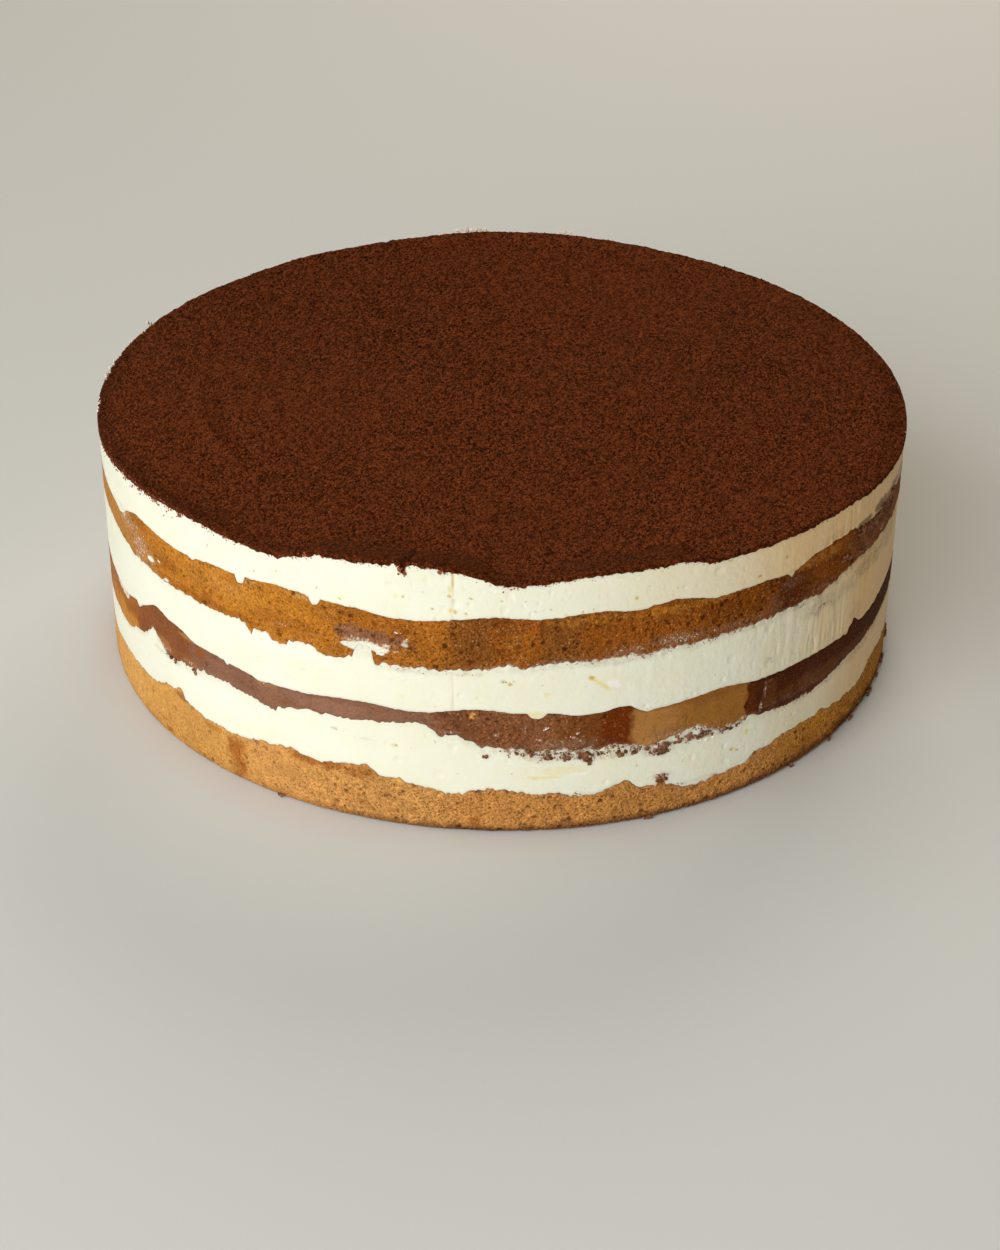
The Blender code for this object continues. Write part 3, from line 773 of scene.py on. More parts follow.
def sponge_material(name, groups, looks, wetness):
    """Baked crumb: the side's own tone, grains, pores and pits darkened as painted shade, and cream
    wiped over it.
    """
    material, make, shader = new_material(name)
    crumb = make.group(groups["crumb"], {"Skin": make.mask("skin"), "Pore Share": 0.30})
    broad = make.group(groups["grain"], {"Fine": 160.0, "Coarse": 60.0, "Balance": 0.5})
    light = make.math("MULTIPLY", crumb["Light"], make.span(broad["Value"], 0.3, 0.7, 0.92, 1.08))
    gray = make.node("ShaderNodeCombineColor", {0: light, 1: light, 2: light}).outputs[0]
    color = make.mix(1.0, make.tone("tone"), gray, "MULTIPLY")
    # Painted shade: the deep tone darkens the pores and the pits, where shade falls in the crumb
    deep = make.mix(1.0, make.tone("tone"), (0.24, 0.14, 0.09, 1.0), "MULTIPLY")
    pale = make.mix(0.45, make.tone("tone"), (*looks.glint_color, 1.0))
    color = make.mix(make.math("MULTIPLY", crumb["Glints"], 0.8), color, pale)
    color = make.mix(make.math("MULTIPLY", crumb["Pores"], 0.85), color, deep)
    color = make.mix(make.math("MULTIPLY", make.mask("pit"), 0.75), color, deep)
    smear = make.group(groups["smear"], {"Cover": make.mask("smear"), "Reach": 0.42})
    color = make.mix(make.math("MULTIPLY", smear["Film"], 0.50), color, (*looks.film_color, 1.0))
    color = make.mix(make.math("MULTIPLY", smear["Bits"], 0.8), color,
                     (*looks.smear_color, 1.0))
    color = make.mix(make.math("MULTIPLY", smear["Solid"], 0.95), color,
                     (*looks.cream_color, 1.0))
    make.feed(shader.inputs["Base Color"], color)
    rough = make.span(crumb["Height"], 0.0, 1.5, 0.92 - wetness, 0.74 - wetness)
    make.feed(shader.inputs["Roughness"], rough)
    shader.inputs["Specular IOR Level"].default_value = 0.08
    rise = make.math("MULTIPLY_ADD", smear["Bits"], 0.4, crumb["Height"])
    bump = make.node("ShaderNodeBump", {"Strength": 0.7, "Distance": 0.0005, "Height": rise})
    make.feed(shader.inputs["Normal"], bump.outputs[0])
    return material


def cream_material(groups, looks):
    """Cream pressed smooth against a film: ivory, faintly blotched, with specks and stains."""
    material, make, shader = new_material("cream")
    grain = make.group(groups["grain"], {"Fine": 420.0, "Coarse": 70.0, "Balance": 0.5})
    blotch = make.span(grain["Coarse Value"], 0.35, 0.65)
    color = make.mix(blotch, (*looks.cream_color, 1.0), (*looks.cream_shade, 1.0))
    color = make.mix(make.math("MULTIPLY", make.mask("dab"), 0.8), color,
                     (*looks.dab_color, 1.0))
    color = make.mix(make.math("MULTIPLY", make.mask("yellow"), 0.85), color,
                     (*looks.butter_color, 1.0))
    # Tan: partly the cream's tint from the soaked sponges, partly painted warm shade on the right
    # side; the stain turns olive there too
    color = make.mix(make.mask("tan_and_warm_shade"), color, (*looks.tan_and_shade_color, 1.0))
    stain = make.group(groups["smear"], {"Cover": make.mask("stain"), "Reach": 0.34})
    film = make.mix(make.mask("tan_and_warm_shade"), (*looks.stain_color, 1.0), (*looks.olive_color, 1.0))
    color = make.mix(make.math("MULTIPLY", stain["Film"], 0.58), color, film)
    color = make.mix(make.math("MULTIPLY", stain["Bits"], 0.8), color,
                     (*looks.soaked_color, 1.0))
    specks = make.group(groups["specks"], {"Scale": 165.0, "Share": 0.12, "Size": 0.05})["Mask"]
    specks = make.math("MAXIMUM", make.math("MULTIPLY", specks, 0.7), make.mask("speck"))
    color = make.mix(make.math("MULTIPLY", specks, 0.9), color, (*looks.speck_color, 1.0))
    dust = make.group(groups["specks"], {"Scale": 1000.0, "Share": 0.75, "Size": 0.42})["Mask"]
    dust = make.math("MULTIPLY", dust, make.mask("dust"))
    color = make.mix(dust, color, (*looks.dust_color, 1.0))
    make.feed(shader.inputs["Base Color"], color)
    rough = make.span(grain["Value"], 0.3, 0.7, 0.52, 0.40)
    make.feed(shader.inputs["Roughness"], make.math("MULTIPLY_ADD", stain["Film"], 0.1, rough))
    shader.inputs["Specular IOR Level"].default_value = 0.3
    shader.inputs["Subsurface Weight"].default_value = 0.3
    shader.inputs["Subsurface Radius"].default_value = (1.0, 0.8, 0.5)
    shader.inputs["Subsurface Scale"].default_value = 0.002
    holes = make.group(groups["specks"], {"Scale": 240.0, "Share": 0.25, "Size": 0.085})["Mask"]
    rise = make.math("MULTIPLY_ADD", holes, -0.9, make.math("MULTIPLY", grain["Value"], 0.9))
    bump = make.node("ShaderNodeBump", {"Strength": 0.6, "Distance": 0.0007, "Height": rise})
    make.feed(shader.inputs["Normal"], bump.outputs[0])
    return material


def cocoa_material(groups, looks):
    """Cocoa powder: matt and dark, each grain with its own tone, with painted shade inside the rim
    and on its turned-down edge.
    """
    material, make, shader = new_material("cocoa")
    grain = make.group(groups["grain"], {"Fine": 2300.0, "Coarse": 1100.0, "Balance": 0.5})
    wide = make.group(groups["grain"], {"Fine": 60.0, "Coarse": 16.0, "Balance": 0.5})["Value"]
    where = bent_place(make, 1500.0, 0.0004)
    cell = make.node("ShaderNodeTexVoronoi", {"Vector": where, "Scale": 1350.0})
    chance = make.node("ShaderNodeSeparateColor", {0: cell.outputs["Color"]}).outputs[0]
    fine = make.span(grain["Value"], 0.36, 0.64, -0.45, 0.45)
    mottle = make.math("MULTIPLY_ADD", chance, 0.9, fine)
    mottle = make.math("ADD", mottle, make.mask("lot"), clamp=True)
    color = make.mix(mottle, (*looks.cocoa_dark, 1.0), (*looks.cocoa_color, 1.0))
    color = make.mix(make.span(wide, 0.35, 0.65, 0.0, 0.25), color, (*looks.cocoa_warm, 1.0))
    # Painted shade: darker cocoa inside the rim at the left and front, and on the turned-down edge
    color = make.mix(make.mask("cocoa_rim_shade"), color, (*looks.cocoa_shade_color, 1.0))
    make.feed(shader.inputs["Base Color"], color)
    shader.inputs["Roughness"].default_value = 0.95
    shader.inputs["Specular IOR Level"].default_value = 0.0
    shader.inputs["Sheen Weight"].default_value = 0.06
    shader.inputs["Sheen Tint"].default_value = (*looks.sheen_color, 1.0)
    shader.inputs["Sheen Roughness"].default_value = 0.5
    rise = make.math("MULTIPLY_ADD", cell.outputs["Distance"], -1.2, grain["Value"])
    bump = make.node("ShaderNodeBump", {"Strength": 0.9, "Distance": 0.0007, "Height": rise})
    make.feed(shader.inputs["Normal"], bump.outputs[0])
    return material


def crumb_material(name, groups, color, lighter):
    """Loose crumb or grain: one tone with a finer mottle."""
    material, make, shader = new_material(name)
    grain = make.group(groups["grain"], {"Fine": 1400.0, "Coarse": 500.0, "Balance": 0.4})
    mottle = make.span(grain["Value"], 0.40, 0.60)
    make.feed(shader.inputs["Base Color"], make.mix(mottle, (*color, 1.0), (*lighter, 1.0)))
    shader.inputs["Roughness"].default_value = 0.8
    shader.inputs["Specular IOR Level"].default_value = 0.3
    bump = make.node("ShaderNodeBump", {"Strength": 0.6, "Distance": 0.0003,
                                        "Height": grain["Value"]})
    make.feed(shader.inputs["Normal"], bump.outputs[0])
    return material


def food_groups():
    """The shader node groups, made once."""
    names = {"grain": "Food grain", "specks": "Food specks", "crumb": "Baked crumb",
             "smear": "Wiped smear"}
    makers = {"grain": grain_group, "specks": speck_group, "crumb": crumb_group,
              "smear": smear_group}
    return {key: bpy.data.node_groups.get(name) or makers[key]() for key, name in names.items()}


# How each sponge is made, by node: slot, lines under and over, rows, tones of the strewn
# spots, tones, patches, smears and seed. Skin (0 is open crumb) and fringe (cream wiped over
# the edge) are lines round the side, and wetness smooths the finish.
SPONGES = {
    "sponge_bottom": {
        "slot": "golden_sponge", "under": "foot", "over": "bottom_over", "rows": 40,
        "spots": ("toast", "toast", "honey", "russet"),
        "tones": BOTTOM_TONES, "patches": BOTTOM_PATCHES, "smears": BOTTOM_SMEARS, "seed": 100,
        "skin": ((-90, 0.8), (-55, 0.7), (-36, 0.55), (-26, 0.3), (-8, 0.1), (60, 0.1), (90, 0.5),
                 (150, 0.2), (200, 0.2), (240, 0.6)),
        "fringe": ((-90, 0.3), (-20, 0.3), (10, 0.4), (30, 0.5), (60, 0.4)),
        "wetness": 0.0,
    },
    "sponge_middle": {
        "slot": "dark_sponge", "under": "middle_under", "over": "middle_over", "rows": 36,
        "spots": ("sand", "russet", "walnut", "burnt", "dusk"),
        "tones": MIDDLE_TONES, "patches": MIDDLE_PATCHES, "smears": MIDDLE_SMEARS, "seed": 200,
        "skin": ((-90, 0.7), (-60, 0.9), (-10, 0.85), (-6, 0.25), (8, 0.3), (13, 0.6), (18, 0.85),
                 (34, 0.9), (45, 0.85), (90, 0.7), (150, 0.3), (200, 0.4), (240, 0.8)),
        "fringe": ((-90, 0.3), (-60, 0.3), (-50, 0.6), (-43, 0.5), (-36, 0.1), (-12, 0.1),
                   (-4, 0.45), (4, 0.75), (30, 0.75), (35, 0.5), (60, 0.5)),
        "wetness": 0.16,
    },
    "sponge_top": {
        "slot": "amber_sponge", "under": "top_under", "over": "top_over", "rows": 40,
        "spots": ("rust", "umber", "mauve", "amber", "golden"),
        "tones": TOP_TONES, "patches": TOP_PATCHES, "smears": TOP_SMEARS, "seed": 300,
        "skin": ((-90, 0.85), (-62, 0.8), (-54, 0.35), (-30, 0.35), (-18, 0.1), (38, 0.0), (41, 0.3),
                 (46, 0.15), (60, 0.2), (90, 0.4), (150, 0.1), (220, 0.3), (250, 0.8)),
        "fringe": ((-90, 0.5), (-60, 0.6), (-48, 0.3), (-30, 0.3), (-12, 0.5), (0, 0.7),
                   (10, 0.95), (30, 0.95), (45, 0.6), (60, 0.6)),
        "wetness": 0.10,
    },
}
# The same for each cream: drag is how much the film pulled it, and stains are patches. Tan (how
# far it is tinted by the soaked sponges, partly painted warm shade on the right side), marks (little
# dents) and haze (crumb near the upper edge) are lines.
CREAMS = {
    "cream_lower": {"under": "bottom_over", "over": "middle_under", "rows": 30, "seed": 400,
                    "drag": 0.15, "stains": LOWER_CREAM_STAINS,
                    "tan_and_warm_shade": ((34, 0.0), (45, 0.3), (60, 0.8), (95, 0.8), (125, 0.0)),
                    "marks": ((-20, 0.0), (28, 0.3), (40, 0.6), (60, 0.2), (90, 0.0), (200, 0.5)),
                    "haze": ((-90, 0.3), (-55, 0.5), (-43, 0.4), (-36, 0.1), (-12, 0.1),
                             (-3, 0.5), (3, 1.1), (30, 1.1), (36, 0.6), (60, 0.5))},
    "cream_middle": {"under": "middle_over", "over": "top_under", "rows": 30, "seed": 500,
                     "drag": 1.0, "stains": MIDDLE_CREAM_STAINS,
                     "tan_and_warm_shade": ((30, 0.0), (41, 0.2), (50, 0.6), (60, 1.0), (95, 1.0), (125, 0.0)),
                     "marks": ((-40, 0.0), (-5, 0.2), (10, 0.2), (38, 0.5), (90, 0.3), (200, 0.4)),
                     "haze": ((-90, 0.5), (-40, 0.15), (-25, 0.2), (-12, 0.45), (6, 0.6),
                              (12, 0.8), (30, 0.8), (50, 0.7), (70, 0.6))},
    "cream_top": {"under": "top_over", "over": "rim", "rows": 30, "seed": 600,
                  "drag": 0.8, "stains": TOP_CREAM_STAINS, "haze": ((-90, 0.0), (90, 0.0)),
                  "tan_and_warm_shade": ((10, 0.0), (25, 0.25), (45, 0.85), (60, 1.0), (95, 1.0), (125, 0.0)),
                  "marks": ((-60, 0.1), (-18, 0.2), (-10, 1.0), (4, 1.0), (14, 0.4), (40, 0.5),
                            (90, 0.2), (200, 0.6), (260, 0.1))},
}

# Holes in the cream where a crumb fell out: azimuth, height in millimetres, half width in
# degrees, half height in millimetres and depth in millimetres
CREAM_HOLES = ((28.1, 25.5, 1.1, 0.9, 1.5), (26.6, 25.6, 0.5, 0.6, 0.9))
# The seam where the film's ends met, and where the film dragged as it came off
SEAM_AZIMUTH = -5.85
SEAM_FOOT = 40.0 * MM
DRAG_FROM, DRAG_TO = 36.0, 72.0


def bake_sponge(name, plan, material):
    """One sponge: a slab with pores, soaked patches and smears."""
    seed = plan["seed"]
    patches = [*plan["patches"],
               *strewn(plan, seed + 20, 24, 3.2, 0.0, 1.0, 0.25, 0.75, plan["spots"])]
    all_smears = [*plan["smears"], *strewn(plan, seed + 21, 16, 1.3, 0.0, 0.6, 0.4, 0.95)]
    slab = round_slab(name + "_crumb", plan["rows"])
    masks = {}

    def dent_at(azimuth, height, low, high):
        skin = eased_line(plan["skin"], azimuth)
        skin = np.clip(skin + 0.2 * swells(azimuth, height, 7 * MM, seed + 1), 0.0, 1.0)
        open_share = 1.0 - 0.85 * skin
        tiny = pits(azimuth, height, 1.5 * MM, 0.45, seed + 2)
        small = pits(azimuth, height, 2.6 * MM, 0.22, seed + 3, 1.3)
        large = pits(azimuth, height, 7.0 * MM, 0.10, seed + 4, 1.6)
        crag = 0.5 + 0.5 * swells(azimuth, height, 2.2 * MM, seed + 5)
        wave = 0.5 + 0.5 * swells(azimuth, height, 14 * MM, seed + 6)
        smears = patch_mask(all_smears, azimuth, height, 0.35, seed + 7)
        smear = np.max(smears, axis=0)
        fringe = eased_line(plan["fringe"], azimuth)
        edge = high - height if plan["under"] == "foot" else height - low
        fringe *= np.clip(1.3 - edge / (1.1 * MM), 0.0, 1.0)
        fringe *= 0.75 + 0.6 * swells(azimuth, height, 1.2 * MM, seed + 16)
        smear = np.maximum(smear, fringe)
        grit = 0.5 + 0.5 * swells(azimuth, height, 0.95 * MM, seed + 11)
        depth = open_share * (0.45 * tiny + 0.60 * small + 0.7 * large + 0.3 * crag + 0.2 * grit)
        depth = depth * (1.0 - 0.35 * smear)
        depth += 0.20 * wave + 0.12 + 0.25 * edge_fall(height, low, high, 0.8 * MM)
        if plan["under"] == "foot":
            tuck = 0.5 + 0.5 * np.cos(np.radians(azimuth - 75.0))
            reach = 0.5 + 0.7 * tuck * tuck
            depth += reach * np.clip(1.0 - height / (reach * 1.1 * MM), 0.0, 1.0) ** 2
        # The pit mask darkens the pits in the material: painted shade in the hollows
        masks.update(skin=skin, smear=smear,
                     pit=open_share * np.clip(0.4 * tiny + small + 0.6 * large, 0.0, 1.0))
        return depth * MM

    azimuth, height, low, high, side = settle(slab, plan["under"], plan["over"], dent_at)
    tones = eased_line([(place, TONES[tone]) for place, tone in plan["tones"]],
                       azimuth + 0.5 * swells(azimuth, height, 2.5 * MM, seed + 8)
                       + 0.3 * swells(azimuth, height, 1.1 * MM, seed + 12))
    for patch, mask in zip(patches, patch_mask(patches, azimuth, height, 0.4, seed + 9)):
        tones += (np.array(TONES[patch[4]]) - tones) * mask[:, None]
    brighter = 1.0 + 0.09 * swells(azimuth, height, 9 * MM, seed + 10)
    brighter += 0.07 * swells(azimuth, height, 2.4 * MM, seed + 14)
    rim_shade = np.clip(1.0 - (high - height) / (0.7 * MM), 0.0, 1.0)
    brighter -= 0.45 * rim_shade * (0.5 + 0.5 * swells(azimuth, height, 3 * MM, seed + 15))
    tones *= brighter[:, None]
    # A dark band along the foot: partly crust, partly painted contact shadow, thicker towards the
    # shaded right and fainter at the lit left
    if plan["under"] == "foot":
        thick = (2.5 + 2.2 * np.clip((azimuth - 25.0) / 30.0, 0.0, 1.0)) * MM
        thick *= 1.0 + 0.35 * swells(azimuth, height, 2.4 * MM, seed + 13)
        line = np.clip(1.6 - 1.3 * height / thick, 0.0, 1.0)
        line *= np.clip((azimuth + 45.0) / 40.0, 0.25, 1.0)
        tones += (np.array(TONES["crust"]) - tones) * (0.85 * line)[:, None]
    set_tone(slab, "tone", tones)
    set_mask(slab, "skin", masks["skin"])
    set_mask(slab, "smear", np.where(side, masks["smear"], 0.0))
    set_mask(slab, "pit", np.where(side, masks["pit"], 0.0))
    shade(slab)
    finish_piece(slab, material, name)


def spread_cream(name, plan, material):
    """One layer of cream, pressed smooth, with its stains, streaks, seam and drag marks."""
    seed = plan["seed"]
    slab = round_slab(name + "_spread", plan["rows"])

    def dent_at(azimuth, height, low, high):
        drag = 0.2 * np.clip((azimuth - 6.0) / 10.0, 0.0, 1.0)
        drag += 1.2 * np.clip((azimuth - DRAG_FROM) / 14.0, 0.0, 1.0)
        drag *= plan["drag"] * np.clip((DRAG_TO - azimuth) / 12.0, 0.0, 1.0)
        ridges = swells(azimuth, height, 1.1 * MM, seed + 1, 0.16)
        ridges *= 0.5 + 0.7 * swells(azimuth, height, 7 * MM, seed + 11, 0.6)
        ridges += 0.4 * swells(azimuth, height, 2.7 * MM, seed + 12, 0.3)
        wave = 0.5 + 0.5 * swells(azimuth, height, 16 * MM, seed + 2)
        ripple = 0.5 + 0.5 * swells(azimuth, height, 4.5 * MM, seed + 3, 0.5)
        holes = pits(azimuth, height, 7.0 * MM, 0.30, seed + 4, 1.2)
        holes = np.clip(holes * 2.0 - 1.0, 0.0, 1.0)
        seam = np.clip(1.0 - np.abs(turn_between(azimuth, SEAM_AZIMUTH)) / 0.4, 0.0, 1.0)
        seam *= height > SEAM_FOOT
        depth = 0.10 + 0.16 * wave + 0.05 * ripple + 0.30 * holes + 0.24 * drag * ridges
        depth += 0.14 + 0.14 * seam + 0.10 * edge_fall(height, low, high, 0.5 * MM)
        marks = pits(azimuth, height, 2.6 * MM, 0.40, seed + 16, 0.7)
        depth += 0.22 * marks * eased_line(plan["marks"], azimuth)
        for centre, level, half_width, half_height, deep in CREAM_HOLES:
            away = np.hypot(turn_between(azimuth, centre) / half_width,
                            (height / MM - level) / half_height)
            depth += deep * np.clip(1.3 - away, 0.0, 1.0)
            depth -= 0.25 * np.clip(1.0 - 2.0 * np.abs(away - 1.6), 0.0, 1.0)
        return depth * MM

    azimuth, height, low, high, side = settle(slab, plan["under"], plan["over"], dent_at)
    stains = [*plan["stains"], *strewn(plan, seed + 20, 14, 1.6, 0.82, 1.0, 0.4, 0.85)]
    stains = patch_mask(stains, azimuth, height, 0.45, seed + 5)
    edge = np.minimum(height - low, high - height)
    near_edge = np.clip(1.0 - edge / (0.7 * MM), 0.0, 1.0)
    near_edge *= 0.25 + 0.25 * swells(azimuth, height, 9 * MM, seed + 6)
    haze = eased_line(plan["haze"], azimuth) * np.clip(1.2 - (high - height) / (2.1 * MM), 0.0, 1.0)
    haze *= 0.8 + 0.5 * swells(azimuth, height, 1.6 * MM, seed + 14)
    stain = np.max([*stains, near_edge, haze], axis=0)
    set_mask(slab, "stain", np.where(side, stain, 0.0))
    streaks = [*YELLOW_STREAKS, *strewn(plan, seed + 21, 6, 0.8, 0.1, 0.9, 0.3, 1.0)]
    yellow = np.max(patch_mask(streaks, azimuth, height, 0.3, seed + 7), axis=0)
    set_mask(slab, "yellow", np.where(side, np.clip(yellow, 0.0, 1.0), 0.0))
    seam = np.clip(1.2 - np.abs(turn_between(azimuth, SEAM_AZIMUTH)) / 0.2, 0.0, 1.0)
    seam *= np.clip(0.45 + 0.9 * swells(azimuth, height, 5 * MM, seed + 8), 0.0, 1.0)
    seam *= 0.30 + 0.45 * np.clip((height - 60 * MM) / (8 * MM), 0.0, 1.0)
    seam *= height > SEAM_FOOT
    specks = [(*speck, 1.0) for speck in CREAM_SPECKS]
    specks += strewn(plan, seed + 22, 24, 0.2, 0.05, 0.95, 0.6, 1.0)
    speck = np.max(patch_mask(specks, azimuth, height, 0.2, seed + 13), axis=0)
    set_mask(slab, "speck", np.where(side, np.maximum(seam, speck), 0.0))
    dabs = [*WHITE_DABS, *strewn(plan, seed + 23, 6, 0.9, 0.1, 0.9, 0.5, 1.0)]
    dab = np.max(patch_mask(dabs, azimuth, height, 0.3, seed + 10), axis=0)
    set_mask(slab, "dab", np.where(side, dab, 0.0))
    # Painted warm shade on the right side, together with the tint from the soaked sponges
    tan_and_warm_shade = eased_line(plan["tan_and_warm_shade"], azimuth)
    tan_and_warm_shade *= 1.0 + 0.12 * swells(azimuth, height, 1.5 * MM, seed + 15, 0.12)
    set_mask(slab, "tan_and_warm_shade", np.where(side, np.clip(tan_and_warm_shade, 0.0, 1.0), 0.0))
    dust = np.zeros_like(azimuth)
    if plan["over"] == "rim":
        left = eased_line(((-105, 0.0), (-92, 1.0), (-58, 1.0), (-45, 0.2), (10, 0.1), (60, 0.0)),
                          azimuth)
        under_rim = np.clip(1.15 - (high - height) / ((1.6 + 0.9 * left) * MM), 0.0, 1.0)
        dusty = 0.70 + 0.35 * swells(azimuth, height, 5 * MM, seed + 9)
        dust = np.clip(under_rim * dusty * (1.0 + 0.5 * left), 0.0, 1.0)
    set_mask(slab, "dust", dust)
    shade(slab)
    finish_piece(slab, material, name)


# Dents in the cocoa: x and y of the middle in metres from the cake's axis, radius and depth
COCOA_DENTS = (
    (-0.030, 0.072, 7.0 * MM, 0.8 * MM), (0.046, 0.042, 9.0 * MM, 0.7 * MM),
    (-0.020, 0.085, 4.0 * MM, 0.5 * MM), (0.062, 0.088, 5.0 * MM, 0.5 * MM),
)
# Faint arcs that a tool left on the cream under the cocoa: radius, azimuths and height
COCOA_ARCS = (
    (0.098, -95.0, -58.0, 1.1 * MM), (0.091, -88.0, -52.0, -0.7 * MM),
)
COCOA_CELLS = 300
COCOA_RIM = 0.45 * MM


def flat_noise(places, size, seed):
    """Smooth seeded noise from -1 to 1 over the top, in square cells of a size."""
    half = int(RADIUS / size) + 3
    values = np.random.default_rng(seed).uniform(-1.0, 1.0, (2 * half + 2, 2 * half + 2))
    where = places[:, :2] / size + half
    low = np.clip(np.floor(where).astype(int), 0, 2 * half)
    share = where - low
    share = share * share * (3.0 - 2.0 * share)
    left, front = low[:, 0], low[:, 1]
    near = values[left, front] * (1 - share[:, 0]) + values[left + 1, front] * share[:, 0]
    far = values[left, front + 1] * (1 - share[:, 0]) + values[left + 1, front + 1] * share[:, 0]
    return near * (1 - share[:, 1]) + far * share[:, 1]


def round_from_square(x, y):
    """Places in a disc for places in a square, with equal areas."""
    wide = np.abs(x) > np.abs(y)
    safe_x, safe_y = np.where(x == 0, 1e-9, x), np.where(y == 0, 1e-9, y)
    reach = np.where(wide, x, y)
    turn = np.where(wide, np.pi / 4 * y / safe_x, np.pi / 2 - np.pi / 4 * x / safe_y)
    return reach * np.cos(turn), reach * np.sin(turn)


def cocoa_height(flat):
    """Height of the cocoa at places on the top: swells, grain, dents and faint arcs."""
    azimuth = np.degrees(np.arctan2(flat[:, 0], -flat[:, 1]))
    reach = np.hypot(flat[:, 0], flat[:, 1])
    height = LINES["rim"].height(azimuth, np.maximum(RADIUS - reach, 0.0)) + COCOA_SKIN
    calm = np.clip((RADIUS - reach) / (6.0 * MM), 0.30, 1.0)
    height += calm * 0.30 * MM * flat_noise(flat, 22 * MM, 701)
    height += calm * 0.10 * MM * flat_noise(flat, 5 * MM, 702)
    height += calm * 0.10 * MM * flat_noise(flat, 2.1 * MM, 703)
    height += calm * 0.12 * MM * flat_noise(flat, 1.1 * MM, 704)
    for dent_x, dent_y, width, depth in COCOA_DENTS:
        far = np.hypot(flat[:, 0] - dent_x, flat[:, 1] - dent_y) / width
        height -= depth * np.exp(-2.0 * far * far) * (1.0 + 0.5 * flat_noise(flat, 2 * MM, 705))
    for radius, start, end, rise in COCOA_ARCS:
        along = np.clip((azimuth - start) / 5.0, 0, 1) * np.clip((end - azimuth) / 5.0, 0, 1)
        off = (reach - radius) / (2.0 * MM)
        height += rise * along * np.exp(-off * off)
    return np.minimum(height, CAD_HIGH[2] - 0.1 * MM)


def sift_cocoa(material):
    """The skin of cocoa: a grained disc that turns down at the rim in a ragged fringe."""
    deselect()
    bpy.ops.mesh.primitive_grid_add(x_subdivisions=COCOA_CELLS, y_subdivisions=COCOA_CELLS,
                                    size=2.0)
    skin = bpy.context.object
    skin.name = skin.data.name = "cocoa_powder"
    bpy.ops.object.mode_set(mode="EDIT")
    bpy.ops.mesh.select_mode(type="EDGE")
    bpy.ops.mesh.select_all(action="DESELECT")
    mesh = bmesh.from_edit_mesh(skin.data)
    for edge in mesh.edges:
        edge.select_set(edge.is_boundary)
    bmesh.update_edit_mesh(skin.data)
    for row in range(4):
        bpy.ops.mesh.extrude_region_move(TRANSFORM_OT_translate={"value": (0.0, 0.0, -1.0)})
    bpy.ops.mesh.edge_face_add()
    bpy.ops.object.mode_set(mode="OBJECT")

    places = points_of(skin)
    x, y = round_from_square(places[:, 0], places[:, 1])
    row = np.rint(-places[:, 2]).astype(int)
    azimuth = np.degrees(np.arctan2(x, -y))
    share = np.hypot(x, y)
    rim = LINES["rim"]
    flat = np.column_stack([x, y]) * RADIUS
    height = cocoa_height(flat)
    edge = rim.at_rim(azimuth)
    fringe = 0.32 + 0.32 * wander(azimuth, 1000, 711) + 0.14 * wander(azimuth, 300, 712)
    left = np.clip((-54.0 - azimuth) / 8.0, 0.0, 1.0)
    left *= np.clip((azimuth + 100.0) / 10.0, 0.0, 1.0)
    fringe += left * (0.7 + 0.7 * wander(azimuth, 700, 713))
    fringe = np.clip(fringe, 0.0, 2.0) * MM
    lip = np.clip(height, edge + 0.25 * MM, None)
    rows = (
        (RADIUS * share - COCOA_RIM * share ** 8, height),
        (RADIUS - 0.12 * MM, np.minimum(lip - 0.30 * MM, edge + 0.55 * MM)),
        (RADIUS - 0.06 * MM, edge - fringe),
        (RADIUS - 1.5 * MM, edge - 0.3 * MM),
        (RADIUS - EASE_WIDTH, np.full_like(edge, TOP_LEVEL)),
    )
    radius = np.choose(row, [np.broadcast_to(one[0], share.shape) for one in rows])
    level = np.choose(row, [one[1] for one in rows])
    turn = np.radians(azimuth)
    place_points(skin, np.column_stack([radius * np.sin(turn), -radius * np.cos(turn), level]))
    # Painted shade in the cocoa: darker inside the rim at the left and front, and on the whole
    # turned-down edge
    lip = np.clip(1.2 - (1.0 - share) * RADIUS / (7.0 * MM), 0.0, 1.0)
    lip *= eased_line(((-115, 0.0), (-90, 0.55), (-55, 0.5), (-30, 0.25), (-12, 0.45), (2, 0.35),
                       (12, 0.1), (60, 0.0)), azimuth)
    set_mask(skin, "cocoa_rim_shade", np.where(row == 0, lip, 0.35))
    shade(skin, 80.0)
    finish_piece(skin, material, "cocoa_top")


# Clumps of soaked crumb pressed into the cream: azimuth, height in millimetres, half width and
# half height in millimetres, and lumps
CRUMB_CLUMPS = (
    (4.1, 28.1, 1.1, 1.1, 8), (11.2, 26.2, 2.4, 1.0, 14), (11.5, 24.8, 1.4, 1.0, 8),
    (11.7, 23.4, 0.6, 0.8, 4), (13.1, 26.3, 0.6, 0.5, 3), (15.9, 25.3, 1.8, 0.9, 11),
    (17.7, 24.7, 0.7, 0.5, 4), (21.7, 24.4, 2.6, 2.0, 26), (25.6, 26.3, 1.5, 1.3, 11),
    (27.1, 25.4, 1.0, 0.7, 6), (28.0, 25.9, 0.9, 0.5, 4), (6.2, 28.3, 0.5, 0.4, 2),
    (31.0, 25.3, 0.7, 0.5, 4), (32.1, 25.0, 0.5, 0.4, 2), (21.8, 13.4, 1.7, 1.3, 13),
    (-1.7, 27.1, 0.6, 0.5, 3), (6.4, 26.2, 1.4, 0.8, 5), (8.8, 26.0, 1.2, 0.8, 5),
    (2.4, 30.6, 1.0, 0.5, 4), (19.4, 25.8, 0.8, 0.6, 3), (23.8, 25.4, 0.8, 0.7, 3),
    (-50.0, 30.2, 1.4, 0.8, 5), (-45.2, 31.0, 0.8, 0.6, 3),
)
